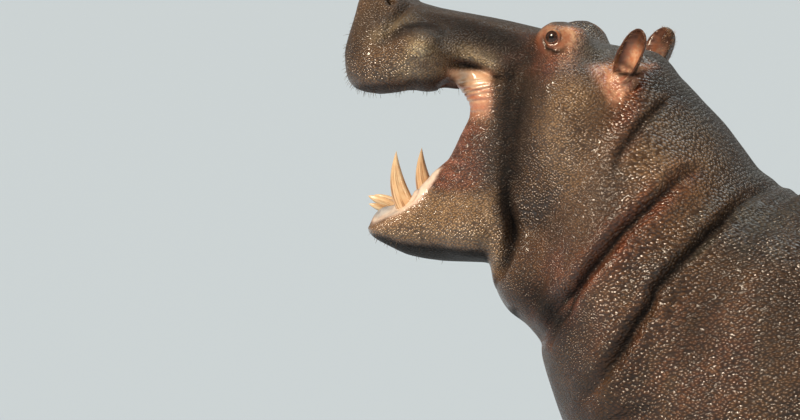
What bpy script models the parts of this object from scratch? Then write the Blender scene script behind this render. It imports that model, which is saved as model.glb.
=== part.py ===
"""A life-size hippopotamus that stands with its head raised and its mouth wide open.

The animal faces -X, its left side is at -Y, and its soles are at z = 0. Lengths are in metres.
The flesh is modelled whole, from lofts and muscle masses that are fused and smoothed. It is then
parted with thin cuts into head, lower jaw, neck, trunk, legs and tail. Ears, eyes, teeth, tongue
and toenails are pieces of their own, set on the flesh or in it.
"""

import math

import bmesh
import bpy
import numpy as np
from mathutils import Matrix, Vector

# --- Driving dimensions -------------------------------------------------------------------------

CUT_GAP = 0.0008  # between two lengths of the body
SEAT_GAP = 0.0008  # between the flesh and a piece that grows from it
LOFT_STEPS = 3  # cross-sections from one row of a table to the next

FUSE_VOXEL = 0.013  # the grid on which the masses are fused
FUSE_SMOOTHING = 7  # passes that round the joins between masses
BODY_SMOOTHING = 30
CALM_X = (-0.80, 1.50)  # the stretch of the body whose last ripples are taken out
CALM_ABOVE = 0.22  # higher than the feet
FLESH_TRIANGLES = 3500

FORELEG_Y, HINDLEG_Y = 0.275, 0.30  # from the middle plane to the middle of a foot
LEG_STAGGER = 0.07  # how far a foot stands before or behind its pair's middle

EYE_RADIUS = 0.021
EYE_CENTRE = Vector((-1.0915, -0.164, 1.820))  # the left eye
EAR_ROOT = Vector((-0.915, -0.178, 1.735))  # the left ear

# --- Outlines -----------------------------------------------------------------------------------
# Each row of a loft is one cross-section: the height of its top and bottom line, its half width
# at the widest, how square it is (2 is an ellipse) and how far its weight hangs (0 is even).

# Trunk and neck: x and z of the top line, x and z of the bottom line, half width, square, hang.
BODY = (
    (1.560, 1.10, 1.540, 0.94, 0.10, 2.0, 0.0),  # root of the tail
    (1.515, 1.23, 1.50, 0.78, 0.25, 2.1, 0.0),  # rump
    (1.40, 1.36, 1.40, 0.60, 0.38, 2.2, 0.0),
    (1.18, 1.45, 1.20, 0.475, 0.455, 2.3, 0.04),  # hips
    (0.84, 1.490, 0.84, 0.395, 0.520, 2.3, 0.08),  # groin
    (0.45, 1.482, 0.45, 0.355, 0.565, 2.2, 0.10),  # belly
    (0.05, 1.457, 0.05, 0.355, 0.570, 2.2, 0.10),
    (-0.26, 1.440, -0.32, 0.395, 0.52, 2.2, 0.10),  # ribs
    (-0.49, 1.452, -0.64, 0.455, 0.465, 2.2, 0.08),  # withers
    (-0.560, 1.444, -0.88, 0.57, 0.420, 2.2, 0.08),  # fold before the withers
    (-0.615, 1.500, -0.98, 0.67, 0.400, 2.2, 0.08),  # shoulder line
    (-0.70, 1.617, -1.08, 0.85, 0.375, 2.2, 0.10),  # chest
    (-0.80, 1.712, -1.145, 1.06, 0.335, 2.2, 0.10),  # throat
    (-0.90, 1.768, -1.15, 1.20, 0.27, 2.2, 0.05),
    (-0.97, 1.74, -1.14, 1.33, 0.18, 2.0, 0.0),  # inside the skull
)

# Skull and muzzle: x, top, bottom, half width, square, hang.
SKULL = (
    (-0.78, 1.66, 1.45, 0.16, 2.0, 0.0),  # poll
    (-0.86, 1.785, 1.38, 0.23, 2.1, 0.1),
    (-0.96, 1.800, 1.32, 0.255, 2.3, 0.2),  # behind the eye
    (-1.07, 1.822, 1.29, 0.255, 2.4, 0.2),  # cheek
    (-1.17, 1.847, 1.33, 0.225, 2.4, 0.2),
    (-1.25, 1.864, 1.55, 0.175, 2.5, 0.15),  # root of the muzzle
    (-1.33, 1.880, 1.70, 0.158, 2.6, 0.15),  # waist
    (-1.41, 1.893, 1.682, 0.185, 2.7, 0.25),
    (-1.49, 1.912, 1.668, 0.222, 2.8, 0.30),  # broadest part of the lips
    (-1.56, 1.925, 1.665, 0.226, 2.8, 0.28),  # nostrils
    (-1.600, 1.895, 1.680, 0.205, 2.7, 0.22),
    (-1.623, 1.845, 1.712, 0.165, 2.4, 0.12),  # front of the lips
    (-1.629, 1.80, 1.75, 0.09, 2.0, 0.0),
)

# Lower jaw, with the same columns.
JAW = (
    (-1.583, 1.366, 1.342, 0.12, 2.0, 0.0),  # front of the lip
    (-1.567, 1.388, 1.322, 0.18, 2.4, 0.0),
    (-1.525, 1.42, 1.299, 0.212, 2.6, 0.0),  # broadest part of the lip
    (-1.46, 1.45, 1.270, 0.218, 2.7, 0.0),
    (-1.38, 1.50, 1.260, 0.208, 2.6, 0.05),
    (-1.31, 1.62, 1.258, 0.208, 2.5, 0.10),  # corner of the mouth
    (-1.25, 1.72, 1.260, 0.215, 2.5, 0.10),
    (-1.17, 1.70, 1.275, 0.22, 2.4, 0.05),
    (-1.08, 1.60, 1.33, 0.20, 2.2, 0.0),
)

# What the open mouth leaves clear between the lips, as x and z of a closed outline.
GAPE = (
    (-1.80, 1.652),
    (-1.62, 1.672),
    (-1.52, 1.674),
    (-1.42, 1.690),
    (-1.378, 1.702),  # back end of the upper lip
    (-1.348, 1.688),
    (-1.327, 1.660),
    (-1.318, 1.622),  # corner of the mouth
    (-1.320, 1.575),
    (-1.337, 1.532),
    (-1.366, 1.488),
    (-1.412, 1.445),
    (-1.464, 1.402),  # edge of the lower lip
    (-1.530, 1.366),
    (-1.60, 1.345),
    (-1.80, 1.30),
)

# The hollow between palate and floor of the mouth: the columns of SKULL.
HOLLOW = (
    (-1.600, 1.700, 1.640, 0.115, 2.6, 0.0),
    (-1.575, 1.724, 1.600, 0.155, 2.8, 0.0),
    (-1.520, 1.740, 1.385, 0.172, 3.0, 0.0),
    (-1.450, 1.745, 1.375, 0.174, 3.0, 0.0),
    (-1.370, 1.738, 1.380, 0.154, 3.0, 0.0),
    (-1.290, 1.712, 1.400, 0.140, 2.8, 0.0),
    (-1.200, 1.660, 1.430, 0.122, 2.6, 0.0),
    (-1.110, 1.600, 1.460, 0.085, 2.2, 0.0),
    (-1.060, 1.560, 1.490, 0.040, 2.0, 0.0),
)

# Legs: height, how far its middle is before the hip or shoulder point, how far out from the foot's
# middle, half length, half width.
FORELEG = (
    (-0.040, 0.030, 0.000, 0.150, 0.140),
    (0.040, 0.030, 0.000, 0.158, 0.146),  # sole
    (0.110, 0.012, 0.000, 0.140, 0.130),
    (0.190, 0.000, 0.000, 0.124, 0.120),  # pastern
    (0.290, 0.000, 0.000, 0.134, 0.126),
    (0.390, -0.005, 0.005, 0.158, 0.138),  # wrist
    (0.500, -0.015, 0.010, 0.200, 0.156),
    (0.640, -0.030, 0.015, 0.250, 0.172),  # elbow
    (0.840, -0.035, 0.015, 0.285, 0.180),
    (1.050, -0.020, -0.005, 0.250, 0.165),  # shoulder
    (1.220, 0.000, -0.040, 0.150, 0.110),
)
HINDLEG = (
    (-0.040, 0.030, 0.000, 0.146, 0.134),
    (0.040, 0.030, 0.000, 0.154, 0.140),  # sole
    (0.110, 0.010, 0.000, 0.136, 0.126),
    (0.190, -0.010, 0.000, 0.122, 0.116),  # pastern
    (0.290, -0.035, 0.000, 0.136, 0.120),
    (0.380, -0.040, 0.000, 0.170, 0.132),  # hock
    (0.480, -0.010, 0.005, 0.230, 0.156),
    (0.620, 0.040, 0.010, 0.305, 0.178),  # knee
    (0.820, 0.050, 0.010, 0.350, 0.190),
    (1.020, 0.010, 0.000, 0.320, 0.175),  # thigh
    (1.220, -0.040, -0.040, 0.200, 0.120),
)
FORELEG_X, HINDLEG_X = -0.54, 1.10

# Tail: x, z, half length, half width.
TAIL = (
    (1.46, 1.12, 0.090, 0.090),
    (1.540, 1.06, 0.064, 0.068),
    (1.590, 0.95, 0.044, 0.050),
    (1.608, 0.84, 0.032, 0.040),
    (1.612, 0.74, 0.024, 0.036),  # the tip is flattened from side to side
    (1.611, 0.67, 0.013, 0.022),
)

# Muscles and lobes on both sides: middle of the left one, half sizes, tilt about Y in degrees.
HEAD_LOBES = {
    "orbit": ((-1.078, -0.122, 1.806), (0.078, 0.062, 0.062), 8),
    "cheek": ((-1.045, -0.180, 1.56), (0.125, 0.105, 0.23), -8),
    "lip_lobe": ((-1.425, -0.165, 1.780), (0.095, 0.085, 0.085), 10),
    "nostril": ((-1.545, -0.085, 1.895), (0.070, 0.055, 0.050), 10),
    "jaw_angle": ((-1.30, -0.150, 1.365), (0.11, 0.085, 0.095), 0),
    "throat": ((-1.112, -0.095, 1.238), (0.135, 0.165, 0.152), -25),
}
BODY_MUSCLES = {
    "shoulder": ((-0.50, -0.29, 1.00), (0.27, 0.16, 0.36), -12),
    "thigh": ((1.08, -0.30, 0.88), (0.35, 0.185, 0.42), 12),
}

TOE_ANGLES = (-58, -20, 20, 58)  # from straight ahead, in degrees
TOE_REACH = 0.104  # from the foot's middle to a toe's middle
TOE_HALF_SIZES = (0.066, 0.048, 0.054)
NAIL_HALF_SIZES = (0.022, 0.028, 0.034)
NAIL_REACH = 0.157  # from the foot's middle to a nail's middle
NAIL_HEIGHT = 0.037

REACH = 4.0  # half the side of a block that cuts through everything
NECK_CUT = ((-0.830, 1.755), (-1.157, 1.075))  # from behind the ears to under the throat
SHOULDER_CUT = ((-0.566, 1.445), (-0.873, 1.063))  # before the withers
JAW_CUT = ((-1.8, 1.60), (-1.212, 1.60), (-1.226, 1.30), (-1.262, 1.20), (-1.8, 1.20))
TAIL_CUT = (1.520, 0.080, 1.105)  # x before it, half width, height
LEG_CUTS = {"fore": (0.30, 0.30, 1.02), "hind": (0.37, 0.32, 1.12)}  # half length, half width, top
LEG_CUT_INNER = 0.07  # from the middle plane to a leg's cut
LEG_CUT_DOME = ((-0.1, 1.0), (0.65, 1.0), (0.85, 0.84), (0.96, 0.52), (1.0, 0.2))  # height, width

# Teeth of the left side: root, tip, radius, how far it bows forwards, width over length.
TEETH = {
    "lower_canine": ((-1.434, -0.150, 1.355), (-1.491, -0.154, 1.540), 0.0265, 0.022, 0.85),
    "lower_incisor_inner": ((-1.495, -0.034, 1.388), (-1.588, -0.038, 1.424), 0.013, 0.004, 1.0),
    "lower_incisor_outer": ((-1.500, -0.082, 1.382), (-1.575, -0.090, 1.406), 0.010, 0.003, 1.0),
    "upper_canine": ((-1.470, -0.128, 1.760), (-1.492, -0.140, 1.676), 0.021, 0.004, 0.9),
    "upper_incisor_inner": ((-1.552, -0.036, 1.770), (-1.570, -0.040, 1.684), 0.013, 0.003, 1.0),
    "upper_incisor_outer": ((-1.540, -0.090, 1.765), (-1.558, -0.095, 1.686), 0.012, 0.003, 1.0),
}
# Cheek teeth of the left side: front and back end of the row, half height.
MOLARS = {
    "upper": ((-1.385, -0.110, 1.722), (-1.175, -0.080, 1.632), 0.024),
    "lower": ((-1.385, -0.108, 1.402), (-1.245, -0.092, 1.434), 0.024),
}
MOLAR_COUNT, MOLAR_HALF_WIDTH = 4, 0.017
TOOTH_SIDES = 8

# Tongue: x, top, bottom, half width.
TONGUE = (
    (-1.462, 1.400, 1.372, 0.035),
    (-1.448, 1.410, 1.362, 0.060),
    (-1.410, 1.420, 1.355, 0.078),
    (-1.340, 1.434, 1.365, 0.082),
    (-1.240, 1.468, 1.385, 0.080),
    (-1.160, 1.490, 1.410, 0.066),
    (-1.110, 1.496, 1.430, 0.040),
)

# Ear: distance along it from the root, half width, and how far its sides curl round, in degrees.
EAR = (
    (-0.020, 0.016, 150),
    (0.015, 0.021, 125),
    (0.050, 0.029, 100),
    (0.080, 0.030, 85),
    (0.105, 0.023, 75),
    (0.119, 0.010, 65),
)
EAR_AXIS = Vector((0.407, -0.242, 0.914))  # of the left ear, from its root to its tip
EAR_OPENING = Vector((-0.574, -0.819, 0.0))  # the way its opening faces
EAR_DEPTH, EAR_BACK = 0.75, 0.35  # depth over half width, and the share of it before the axis
EAR_COLUMNS, EAR_WALL = 8, 0.007

# --- Colours ------------------------------------------------------------------------------------

SLOTS = {
    "skin": ((0.16, 0.10, 0.07), 0.42),
    "mouth_lining": ((0.62, 0.30, 0.25), 0.35),
    "ivory": ((0.74, 0.56, 0.33), 0.35),
    "eye": ((0.05, 0.03, 0.02), 0.08),
    "nail": ((0.10, 0.07, 0.05), 0.5),
}


def clear_scene():
    for thing in list(bpy.data.objects):
        bpy.data.objects.remove(thing)


def new_collection(name):
    made = bpy.data.collections.new(name)
    bpy.context.scene.collection.children.link(made)
    return made


def material(slot):
    """The slot's Principled material, made once."""
    if slot in bpy.data.materials:
        return bpy.data.materials[slot]
    colour, roughness = SLOTS[slot]
    made = bpy.data.materials.new(slot)
    made.use_nodes = True
    shader = made.node_tree.nodes["Principled BSDF"]
    shader.inputs["Base Color"].default_value = (*colour, 1.0)
    shader.inputs["Roughness"].default_value = roughness
    shader.inputs["Metallic"].default_value = 0.0
    return made


# --- Modelling helpers --------------------------------------------------------------------------


def smooth_columns(rows):
    """The rows of a table with more between each two, on smooth curves with no overshoot."""
    table = np.array(rows, float)
    ahead = np.diff(table, axis=0)
    tangent = np.zeros_like(table)
    tangent[0], tangent[-1] = ahead[0], ahead[-1]
    same_way = ahead[:-1] * ahead[1:] > 0
    total = np.where(same_way, ahead[:-1] + ahead[1:], 1.0)
    tangent[1:-1] = np.where(same_way, 2 * ahead[:-1] * ahead[1:] / total, 0.0)
    made = []
    for i in range(len(table) - 1):
        for t in np.arange(LOFT_STEPS) / LOFT_STEPS:
            start, end = (1 + 2 * t) * (1 - t) ** 2, t * t * (3 - 2 * t)
            leave, arrive = t * (1 - t) ** 2, t * t * (t - 1)
            values = start * table[i] + end * table[i + 1]
            made.append(values + leave * tangent[i] + arrive * tangent[i + 1])
    made.append(table[-1])
    return made


def rounded_section(middle, up, across, square, hang, sides=64):
    """Points round a cross-section: up and across are its half sizes as vectors."""
    points = []
    for k in range(sides):
        turn = 2 * math.pi * k / sides
        high, wide = math.cos(turn), math.sin(turn)
        high = math.copysign(abs(high) ** (2 / square), high)
        wide = math.copysign(abs(wide) ** (2 / square), wide)
        points.append(middle + up * high + across * wide * (1 - hang * high))
    return points


def mesh_object(name, bm, collection):
    mesh = bpy.data.meshes.new(name)
    bmesh.ops.recalc_face_normals(bm, faces=bm.faces)
    bm.to_mesh(mesh)
    bm.free()
    made = bpy.data.objects.new(name, mesh)
    collection.objects.link(made)
    return made


def loft(name, sections, collection):
    """A closed skin over cross-sections that have the same number of points."""
    bm = bmesh.new()
    rings = [[bm.verts.new(point) for point in section] for section in sections]
    for ring, after in zip(rings, rings[1:]):
        for k in range(len(ring)):
            bm.faces.new((ring[k - 1], ring[k], after[k], after[k - 1]))
    bm.faces.new(rings[0])
    bm.faces.new(rings[-1])
    return mesh_object(name, bm, collection)


def upright_loft(name, rows, collection):
    """A loft through upright cross-sections: x, top, bottom, half width, square, hang."""
    sections = []
    for x, top, bottom, half_width, square, hang in smooth_columns(rows):
        middle = Vector((x, 0, (top + bottom) / 2))
        up = Vector((0, 0, (top - bottom) / 2))
        sections.append(rounded_section(middle, up, Vector((0, half_width, 0)), square, hang))
    return loft(name, sections, collection)


def body_loft(collection):
    """Trunk and neck: each cross-section runs from a point of the back to one of the belly."""
    sections = []
    for x_top, top, x_bottom, bottom, half_width, square, hang in smooth_columns(BODY):
        back, belly = Vector((x_top, 0, top)), Vector((x_bottom, 0, bottom))
        across = Vector((0, half_width, 0))
        sections.append(rounded_section((back + belly) / 2, (back - belly) / 2, across, square, hang))
    return loft("body_mass", sections, collection)


def leg_loft(name, rows, x, y, collection):
    """A leg on level cross-sections. side is -1 on the left, where y is negative."""
    side = math.copysign(1, y)
    sections = []
    for height, ahead, outward, half_length, half_width in smooth_columns(rows):
        middle = Vector((x - ahead, y + side * outward, height))
        sections.append(
            rounded_section(middle, Vector((half_length, 0, 0)), Vector((0, half_width, 0)), 2.3, 0, 24)
        )
    return loft(name, sections, collection)


def tail_loft(collection):
    sections = []
    for x, z, half_length, half_width in smooth_columns(TAIL):
        along = Vector((half_length, 0, half_length * 0.35))
        sections.append(rounded_section(Vector((x, 0, z)), along, Vector((0, half_width, 0)), 2, 0, 16))
    return loft("tail_mass", sections, collection)


def mass(name, middle, half_sizes, tilt, collection, segments=28):
    """A muscle or lobe: a sphere with three half sizes, tilted about Y."""
    bm = bmesh.new()
    bmesh.ops.create_uvsphere(bm, u_segments=segments, v_segments=segments * 2 // 3, radius=1)
    place = Matrix.Translation(middle) @ Matrix.Rotation(math.radians(tilt), 4, "Y")
    bmesh.ops.transform(bm, matrix=place @ Matrix.Diagonal((*half_sizes, 1)), verts=bm.verts)
    return mesh_object(name, bm, collection)


def joined(name, pieces, collection):
    """One object with the evaluated meshes of several, which are removed."""
    bm = bmesh.new()
    graph = bpy.context.evaluated_depsgraph_get()
    for piece in pieces:
        bm.from_object(piece, graph)
        bpy.data.objects.remove(piece)
    return mesh_object(name, bm, collection)


def settle(piece):
    """Applies the modifiers of a piece."""
    graph = bpy.context.evaluated_depsgraph_get()
    mesh = bpy.data.meshes.new_from_object(piece.evaluated_get(graph))
    piece.modifiers.clear()
    piece.data = mesh
    return piece


def boolean(piece, operation, other):
    cut = piece.modifiers.new(operation.lower(), "BOOLEAN")
    cut.operation = operation
    cut.object = other
    cut.solver = "EXACT"
    return settle(piece)


def use_up(piece, operation, other):
    """A Boolean whose second object isn't needed again."""
    boolean(piece, operation, other)
    bpy.data.objects.remove(other)


def both_sides():
    """The name of each side, and what takes a point of the left side there."""
    return (("left", Vector((1, 1, 1))), ("right", Vector((1, -1, 1))))


def fuse(piece, voxel, smoothing):
    """Fuses what overlaps in a piece, and rounds the joins."""
    grid = piece.modifiers.new("fuse", "REMESH")
    grid.mode = "VOXEL"
    grid.voxel_size = voxel
    soften = piece.modifiers.new("soften", "SMOOTH")
    soften.factor = 0.5
    soften.iterations = smoothing
    return settle(piece)


def calm_trunk(whole):
    """Takes the last ripples out of the large, even surfaces behind the neck and above the feet."""
    group = whole.vertex_groups.new(name="trunk")
    calm = [
        vertex.index
        for vertex in whole.data.vertices
        if CALM_X[0] < vertex.co.x < CALM_X[1] and vertex.co.z > CALM_ABOVE
    ]
    group.add(calm, 1.0, "ADD")
    soften = whole.modifiers.new("calm", "SMOOTH")
    soften.factor = 0.5
    soften.iterations = BODY_SMOOTHING
    soften.vertex_group = "trunk"
    settle(whole)


# --- The flesh, whole ---------------------------------------------------------------------------


def extruded_outline(name, outline, collection):
    """A flat outline in the XZ plane, given thickness to both sides of the middle plane."""
    curve = bpy.data.curves.new(name, "CURVE")
    curve.dimensions = "2D"
    curve.fill_mode = "BOTH"
    curve.extrude = REACH
    line = curve.splines.new("POLY")
    line.points.add(len(outline) - 1)
    for point, (x, z) in zip(line.points, outline):
        point.co = (x, z, 0, 1)
    line.use_cyclic_u = True
    flat = bpy.data.objects.new(name, curve)
    collection.objects.link(flat)
    flat.rotation_euler = (math.radians(90), 0, 0)
    bpy.context.view_layer.update()
    bm = bmesh.new()
    mesh = bpy.data.meshes.new_from_object(flat.evaluated_get(bpy.context.evaluated_depsgraph_get()))
    mesh.transform(flat.matrix_world)
    bm.from_mesh(mesh)
    bmesh.ops.remove_doubles(bm, verts=bm.verts, dist=0.00005)
    bpy.data.objects.remove(flat)
    return mesh_object(name, bm, collection)


def leg_places():
    """Name, table, x and y of each leg. Feet of a pair stand a little before and behind each other."""
    for name, rows, x, y, ahead in (
        ("foreleg", FORELEG, FORELEG_X, FORELEG_Y, LEG_STAGGER),
        ("hindleg", HINDLEG, HINDLEG_X, HINDLEG_Y, -LEG_STAGGER),
    ):
        yield f"{name}_left", rows, x - ahead, -y
        yield f"{name}_right", rows, x + ahead, y


def toe_places(x, y):
    """Middle of the foot's front, and the direction of each of the four toes, seen from above."""
    for angle in TOE_ANGLES:
        turn = math.radians(angle)
        yield Vector((x - 0.03, y, 0)), Vector((-math.cos(turn), math.sin(turn), 0))


def molar_row(front, back, height, collection):
    """The cheek teeth of one side as one bar with a crown for each tooth."""
    sections = []
    steps = 3 * MOLAR_COUNT
    for k in range(steps + 1):
        crown = 0.72 + 0.28 * abs(math.sin(math.pi * MOLAR_COUNT * k / steps))
        middle = front.lerp(back, k / steps)
        up, across = Vector((0, 0, height * crown)), Vector((0, MOLAR_HALF_WIDTH * crown, 0))
        sections.append(rounded_section(middle, up, across, 3, 0, TOOTH_SIDES))
    return loft("molars", sections, collection)


def flesh_whole(collection):
    """The animal in one piece, without ears, eyes, teeth, tongue and nails."""
    body = [body_loft(collection)]
    head = [
        upright_loft("skull_mass", SKULL, collection),
        upright_loft("jaw_mass", JAW, collection),
        tail_loft(collection),
    ]
    for name, rows, x, y in leg_places():
        body.append(leg_loft(name + "_mass", rows, x, y, collection))
        for middle, direction in toe_places(x, y):
            place = middle + direction * TOE_REACH + Vector((0, 0, TOE_HALF_SIZES[2]))
            head.append(mass("toe_mass", place, TOE_HALF_SIZES, 0, collection))
    for pieces, table in ((head, HEAD_LOBES), (body, BODY_MUSCLES)):
        for name, (middle, half_sizes, tilt) in table.items():
            for _, mirror in both_sides():
                pieces.append(mass(name, Vector(middle) * mirror, half_sizes, tilt, collection))
    body = fuse(joined("body", body, collection), FUSE_VOXEL, BODY_SMOOTHING)
    whole = fuse(joined("whole", [body, *head], collection), FUSE_VOXEL, 0)
    use_up(whole, "DIFFERENCE", extruded_outline("gape", GAPE, collection))
    use_up(whole, "DIFFERENCE", upright_loft("hollow", HOLLOW, collection))
    fuse(whole, FUSE_VOXEL, FUSE_SMOOTHING)
    calm_trunk(whole)
    whole.data.calc_loop_triangles()
    thin = whole.modifiers.new("thin", "DECIMATE")
    thin.ratio = FLESH_TRIANGLES / len(whole.data.loop_triangles)
    thin.use_collapse_triangulate = True
    settle(whole)
    for _, mirror in both_sides():
        socket = mass("socket", EYE_CENTRE * mirror, (EYE_RADIUS + SEAT_GAP,) * 3, 0, collection, 12)
        use_up(whole, "DIFFERENCE", socket)
        for front, back, height in MOLARS.values():
            molars = molar_row(Vector(front) * mirror, Vector(back) * mirror, height, collection)
            use_up(whole, "UNION", molars)
    return whole


# --- Cutting it into named lengths --------------------------------------------------------------


def block(name, low, high, collection):
    """A box between two corners."""
    bm = bmesh.new()
    low, high = Vector(low), Vector(high)
    place = Matrix.Translation((low + high) / 2) @ Matrix.Diagonal((*(high - low), 1))
    bmesh.ops.create_cube(bm, size=1, matrix=place)
    return mesh_object(name, bm, collection)


def behind(name, top, bottom, grow, collection):
    """All that lies behind a plane through two points (x, z) of the middle plane."""
    (x_top, z_top), (x_bottom, z_bottom) = top, bottom
    lean = math.atan2(x_top - x_bottom, z_top - z_bottom)
    made = block(name, (-grow, -REACH, -REACH), (2 * REACH, REACH, REACH), collection)
    made.data.transform(Matrix.Translation((x_top, 0, z_top)) @ Matrix.Rotation(lean, 4, "Y"))
    return made


def leg_socket(name, x, y, grow, collection):
    """The space of a leg: an oval column with a domed end inside the shoulder or the thigh."""
    half_length, half_width, top = LEG_CUTS[name.partition("leg")[0]]
    y = math.copysign(half_width + LEG_CUT_INNER, y)
    sections = []
    for height, share in LEG_CUT_DOME:
        along, across = (half_length + grow) * share, (half_width + grow) * share
        middle = Vector((x, y, height * top + grow))
        sections.append(rounded_section(middle, Vector((along, 0, 0)), Vector((0, across, 0)), 2, 0, 16))
    return loft(name, sections, collection)


def cut_off(rest, name, cutter, collection):
    """The share of rest inside the cutter becomes a node, and rest keeps what lies outside it."""
    piece = bpy.data.objects.new(name, rest.data.copy())
    collection.objects.link(piece)
    use_up(piece, "INTERSECT", cutter(0))
    use_up(rest, "DIFFERENCE", cutter(CUT_GAP))
    return piece


def part_the_flesh(whole, nodes, helpers):
    """Level soles, then legs, tail, trunk, neck, lower jaw and head, in that order."""
    ground = block("ground", (-REACH, -REACH, -REACH), (REACH, REACH, 0), helpers)
    use_up(whole, "DIFFERENCE", ground)
    for name, _, x, y in leg_places():
        cut_off(whole, name, lambda grow: leg_socket(name, x, y, grow, helpers), nodes)
    cut_off(
        whole,
        "tail",
        lambda grow: block(
            "socket",
            (TAIL_CUT[0] - grow, -TAIL_CUT[1] - grow, 0.4),
            (REACH, TAIL_CUT[1] + grow, TAIL_CUT[2] + grow),
            helpers,
        ),
        nodes,
    )
    cut_off(whole, "trunk", lambda grow: behind("socket", *SHOULDER_CUT, grow, helpers), nodes)
    cut_off(whole, "neck", lambda grow: behind("socket", *NECK_CUT, grow, helpers), nodes)
    cut_off(
        whole,
        "lower_jaw",
        lambda grow: extruded_outline("socket", [(x + grow, z + grow) for x, z in JAW_CUT], helpers),
        nodes,
    )
    whole.name = "head"
    helpers.objects.unlink(whole)
    nodes.objects.link(whole)


# --- Pieces that grow from the flesh ------------------------------------------------------------


def grown_flesh(whole, collection):
    """The flesh, larger by the gap that a piece on it keeps."""
    made = bpy.data.objects.new("grown_flesh", whole.data.copy())
    collection.objects.link(made)
    swell = made.modifiers.new("swell", "DISPLACE")
    swell.mid_level = 0
    swell.strength = SEAT_GAP
    return settle(made)


def seat(piece, grown, slot):
    """Cuts a piece back to what stands out of the flesh."""
    boolean(piece, "DIFFERENCE", grown)
    piece.data.materials.clear()
    piece.data.materials.append(material(slot))
    return piece


def tooth(name, root, tip, radius, bow, flat, collection):
    """A tooth from its root to its tip: bow is how far its middle stands before the straight line."""
    axis = (tip - root).normalized()
    across = axis.cross(Vector((1, 0, 0))).normalized()
    behind = across.cross(axis)
    sections = []
    for share in (0.0, 0.3, 0.55, 0.75, 0.9, 0.98):
        middle = root.lerp(tip, share) - behind * bow * 4 * share * (1 - share)
        size = radius * math.sqrt(1 - share**2.2)
        sections.append(rounded_section(middle, behind * size, across * size * flat, 2, 0, TOOTH_SIDES))
    return loft(name, sections, collection)


def teeth(nodes):
    """The canines and incisors of both sides."""
    for side, mirror in both_sides():
        for name, (root, tip, *shape) in TEETH.items():
            yield tooth(f"{name}_{side}", Vector(root) * mirror, Vector(tip) * mirror, *shape, nodes)


def tongue(nodes):
    sections = []
    for x, top, bottom, half_width in TONGUE:
        middle, up = Vector((x, 0, (top + bottom) / 2)), Vector((0, 0, (top - bottom) / 2))
        sections.append(rounded_section(middle, up, Vector((0, half_width, 0)), 2.4, 0, 20))
    return loft("tongue", sections, nodes)


def ear(name, mirror, nodes):
    """A cupped leaf on a short stem, with its opening turned outwards and a little forwards."""
    root = EAR_ROOT * mirror
    axis = (EAR_AXIS * mirror).normalized()
    outward = EAR_OPENING * mirror
    outward = (outward - axis * outward.dot(axis)).normalized()
    across = axis.cross(outward)
    bm = bmesh.new()
    rows = []
    for along, half_width, curl in EAR:
        widest = max(math.sin(math.radians(min(curl, 90))), 0.3)
        row = []
        for k in range(EAR_COLUMNS + 1):
            turn = math.radians(curl) * (2 * k / EAR_COLUMNS - 1)
            sideways = half_width * math.sin(turn) / widest
            depth = half_width * EAR_DEPTH * (math.cos(turn) - EAR_BACK)
            row.append(bm.verts.new(root + axis * along + across * sideways - outward * depth))
        rows.append(row)
    for row, after in zip(rows, rows[1:]):
        for k in range(EAR_COLUMNS):
            bm.faces.new((row[k], row[k + 1], after[k + 1], after[k]))
    leaf = mesh_object(name, bm, nodes)
    wall = leaf.modifiers.new("wall", "SOLIDIFY")
    wall.thickness = EAR_WALL
    wall.offset = 0
    return settle(leaf)


def nails(name, x, y, nodes):
    """The four small hoofs of a foot."""
    for k, (middle, direction) in enumerate(toe_places(x, y), start=1):
        place = middle + direction * NAIL_REACH + Vector((0, 0, NAIL_HEIGHT))
        turn = Matrix.Rotation(math.atan2(direction.y, direction.x), 4, "Z")
        bm = bmesh.new()
        bmesh.ops.create_uvsphere(
            bm,
            u_segments=8,
            v_segments=5,
            radius=1,
            matrix=Matrix.Translation(place) @ turn @ Matrix.Diagonal((*NAIL_HALF_SIZES, 1)),
        )
        yield mesh_object(f"{name}_nail_{k}", bm, nodes)


def centre_on_origin(nodes):
    """Slides all nodes along X, so that the animal's box is centred there."""
    reached = [vertex.co.x for node in nodes.objects for vertex in node.data.vertices]
    slide = Matrix.Translation((-(min(reached) + max(reached)) / 2, 0, 0))
    for node in nodes.objects:
        node.data.transform(slide)


def main():
    clear_scene()
    nodes, helpers = new_collection("hippopotamus"), new_collection("cutters")
    whole = flesh_whole(helpers)
    whole.data.materials.append(material("skin"))
    grown = grown_flesh(whole, helpers)
    part_the_flesh(whole, nodes, helpers)
    for piece in teeth(nodes):
        seat(piece, grown, "ivory")
    seat(tongue(nodes), grown, "mouth_lining")
    for side, mirror in both_sides():
        seat(ear(f"ear_{side}", mirror, nodes), grown, "skin")
        ball = mass(f"eye_{side}", EYE_CENTRE * mirror, (EYE_RADIUS,) * 3, 0, nodes, 12)
        ball.data.materials.append(material("eye"))
    for name, _, x, y in leg_places():
        for nail in nails(name, x, y, nodes):
            seat(nail, grown, "nail")
    bpy.data.objects.remove(grown)
    centre_on_origin(nodes)


main()
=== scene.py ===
# %% [markdown]
# # A hippopotamus with its mouth wide open, life size
#
# The object is a still model of a grown hippopotamus, such as a museum shows: it stands with its head
# low and gapes. The animal is one wet, nearly hairless skin, with eyes, teeth, a tongue and toenails set
# into it and a few stiff bristles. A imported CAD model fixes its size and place, and this script only
# replaces those plain solids with finished ones.
#
# It could be sculpted by hand, but then nobody could follow or change it. Here each fold, gum and lid is
# a named line or point in metres, and small brushes in code move the skin's vertices along it.

# %% Load the fixed frame
import math

import bmesh
import bpy
import numpy as np
from mathutils import Matrix, Vector


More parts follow.
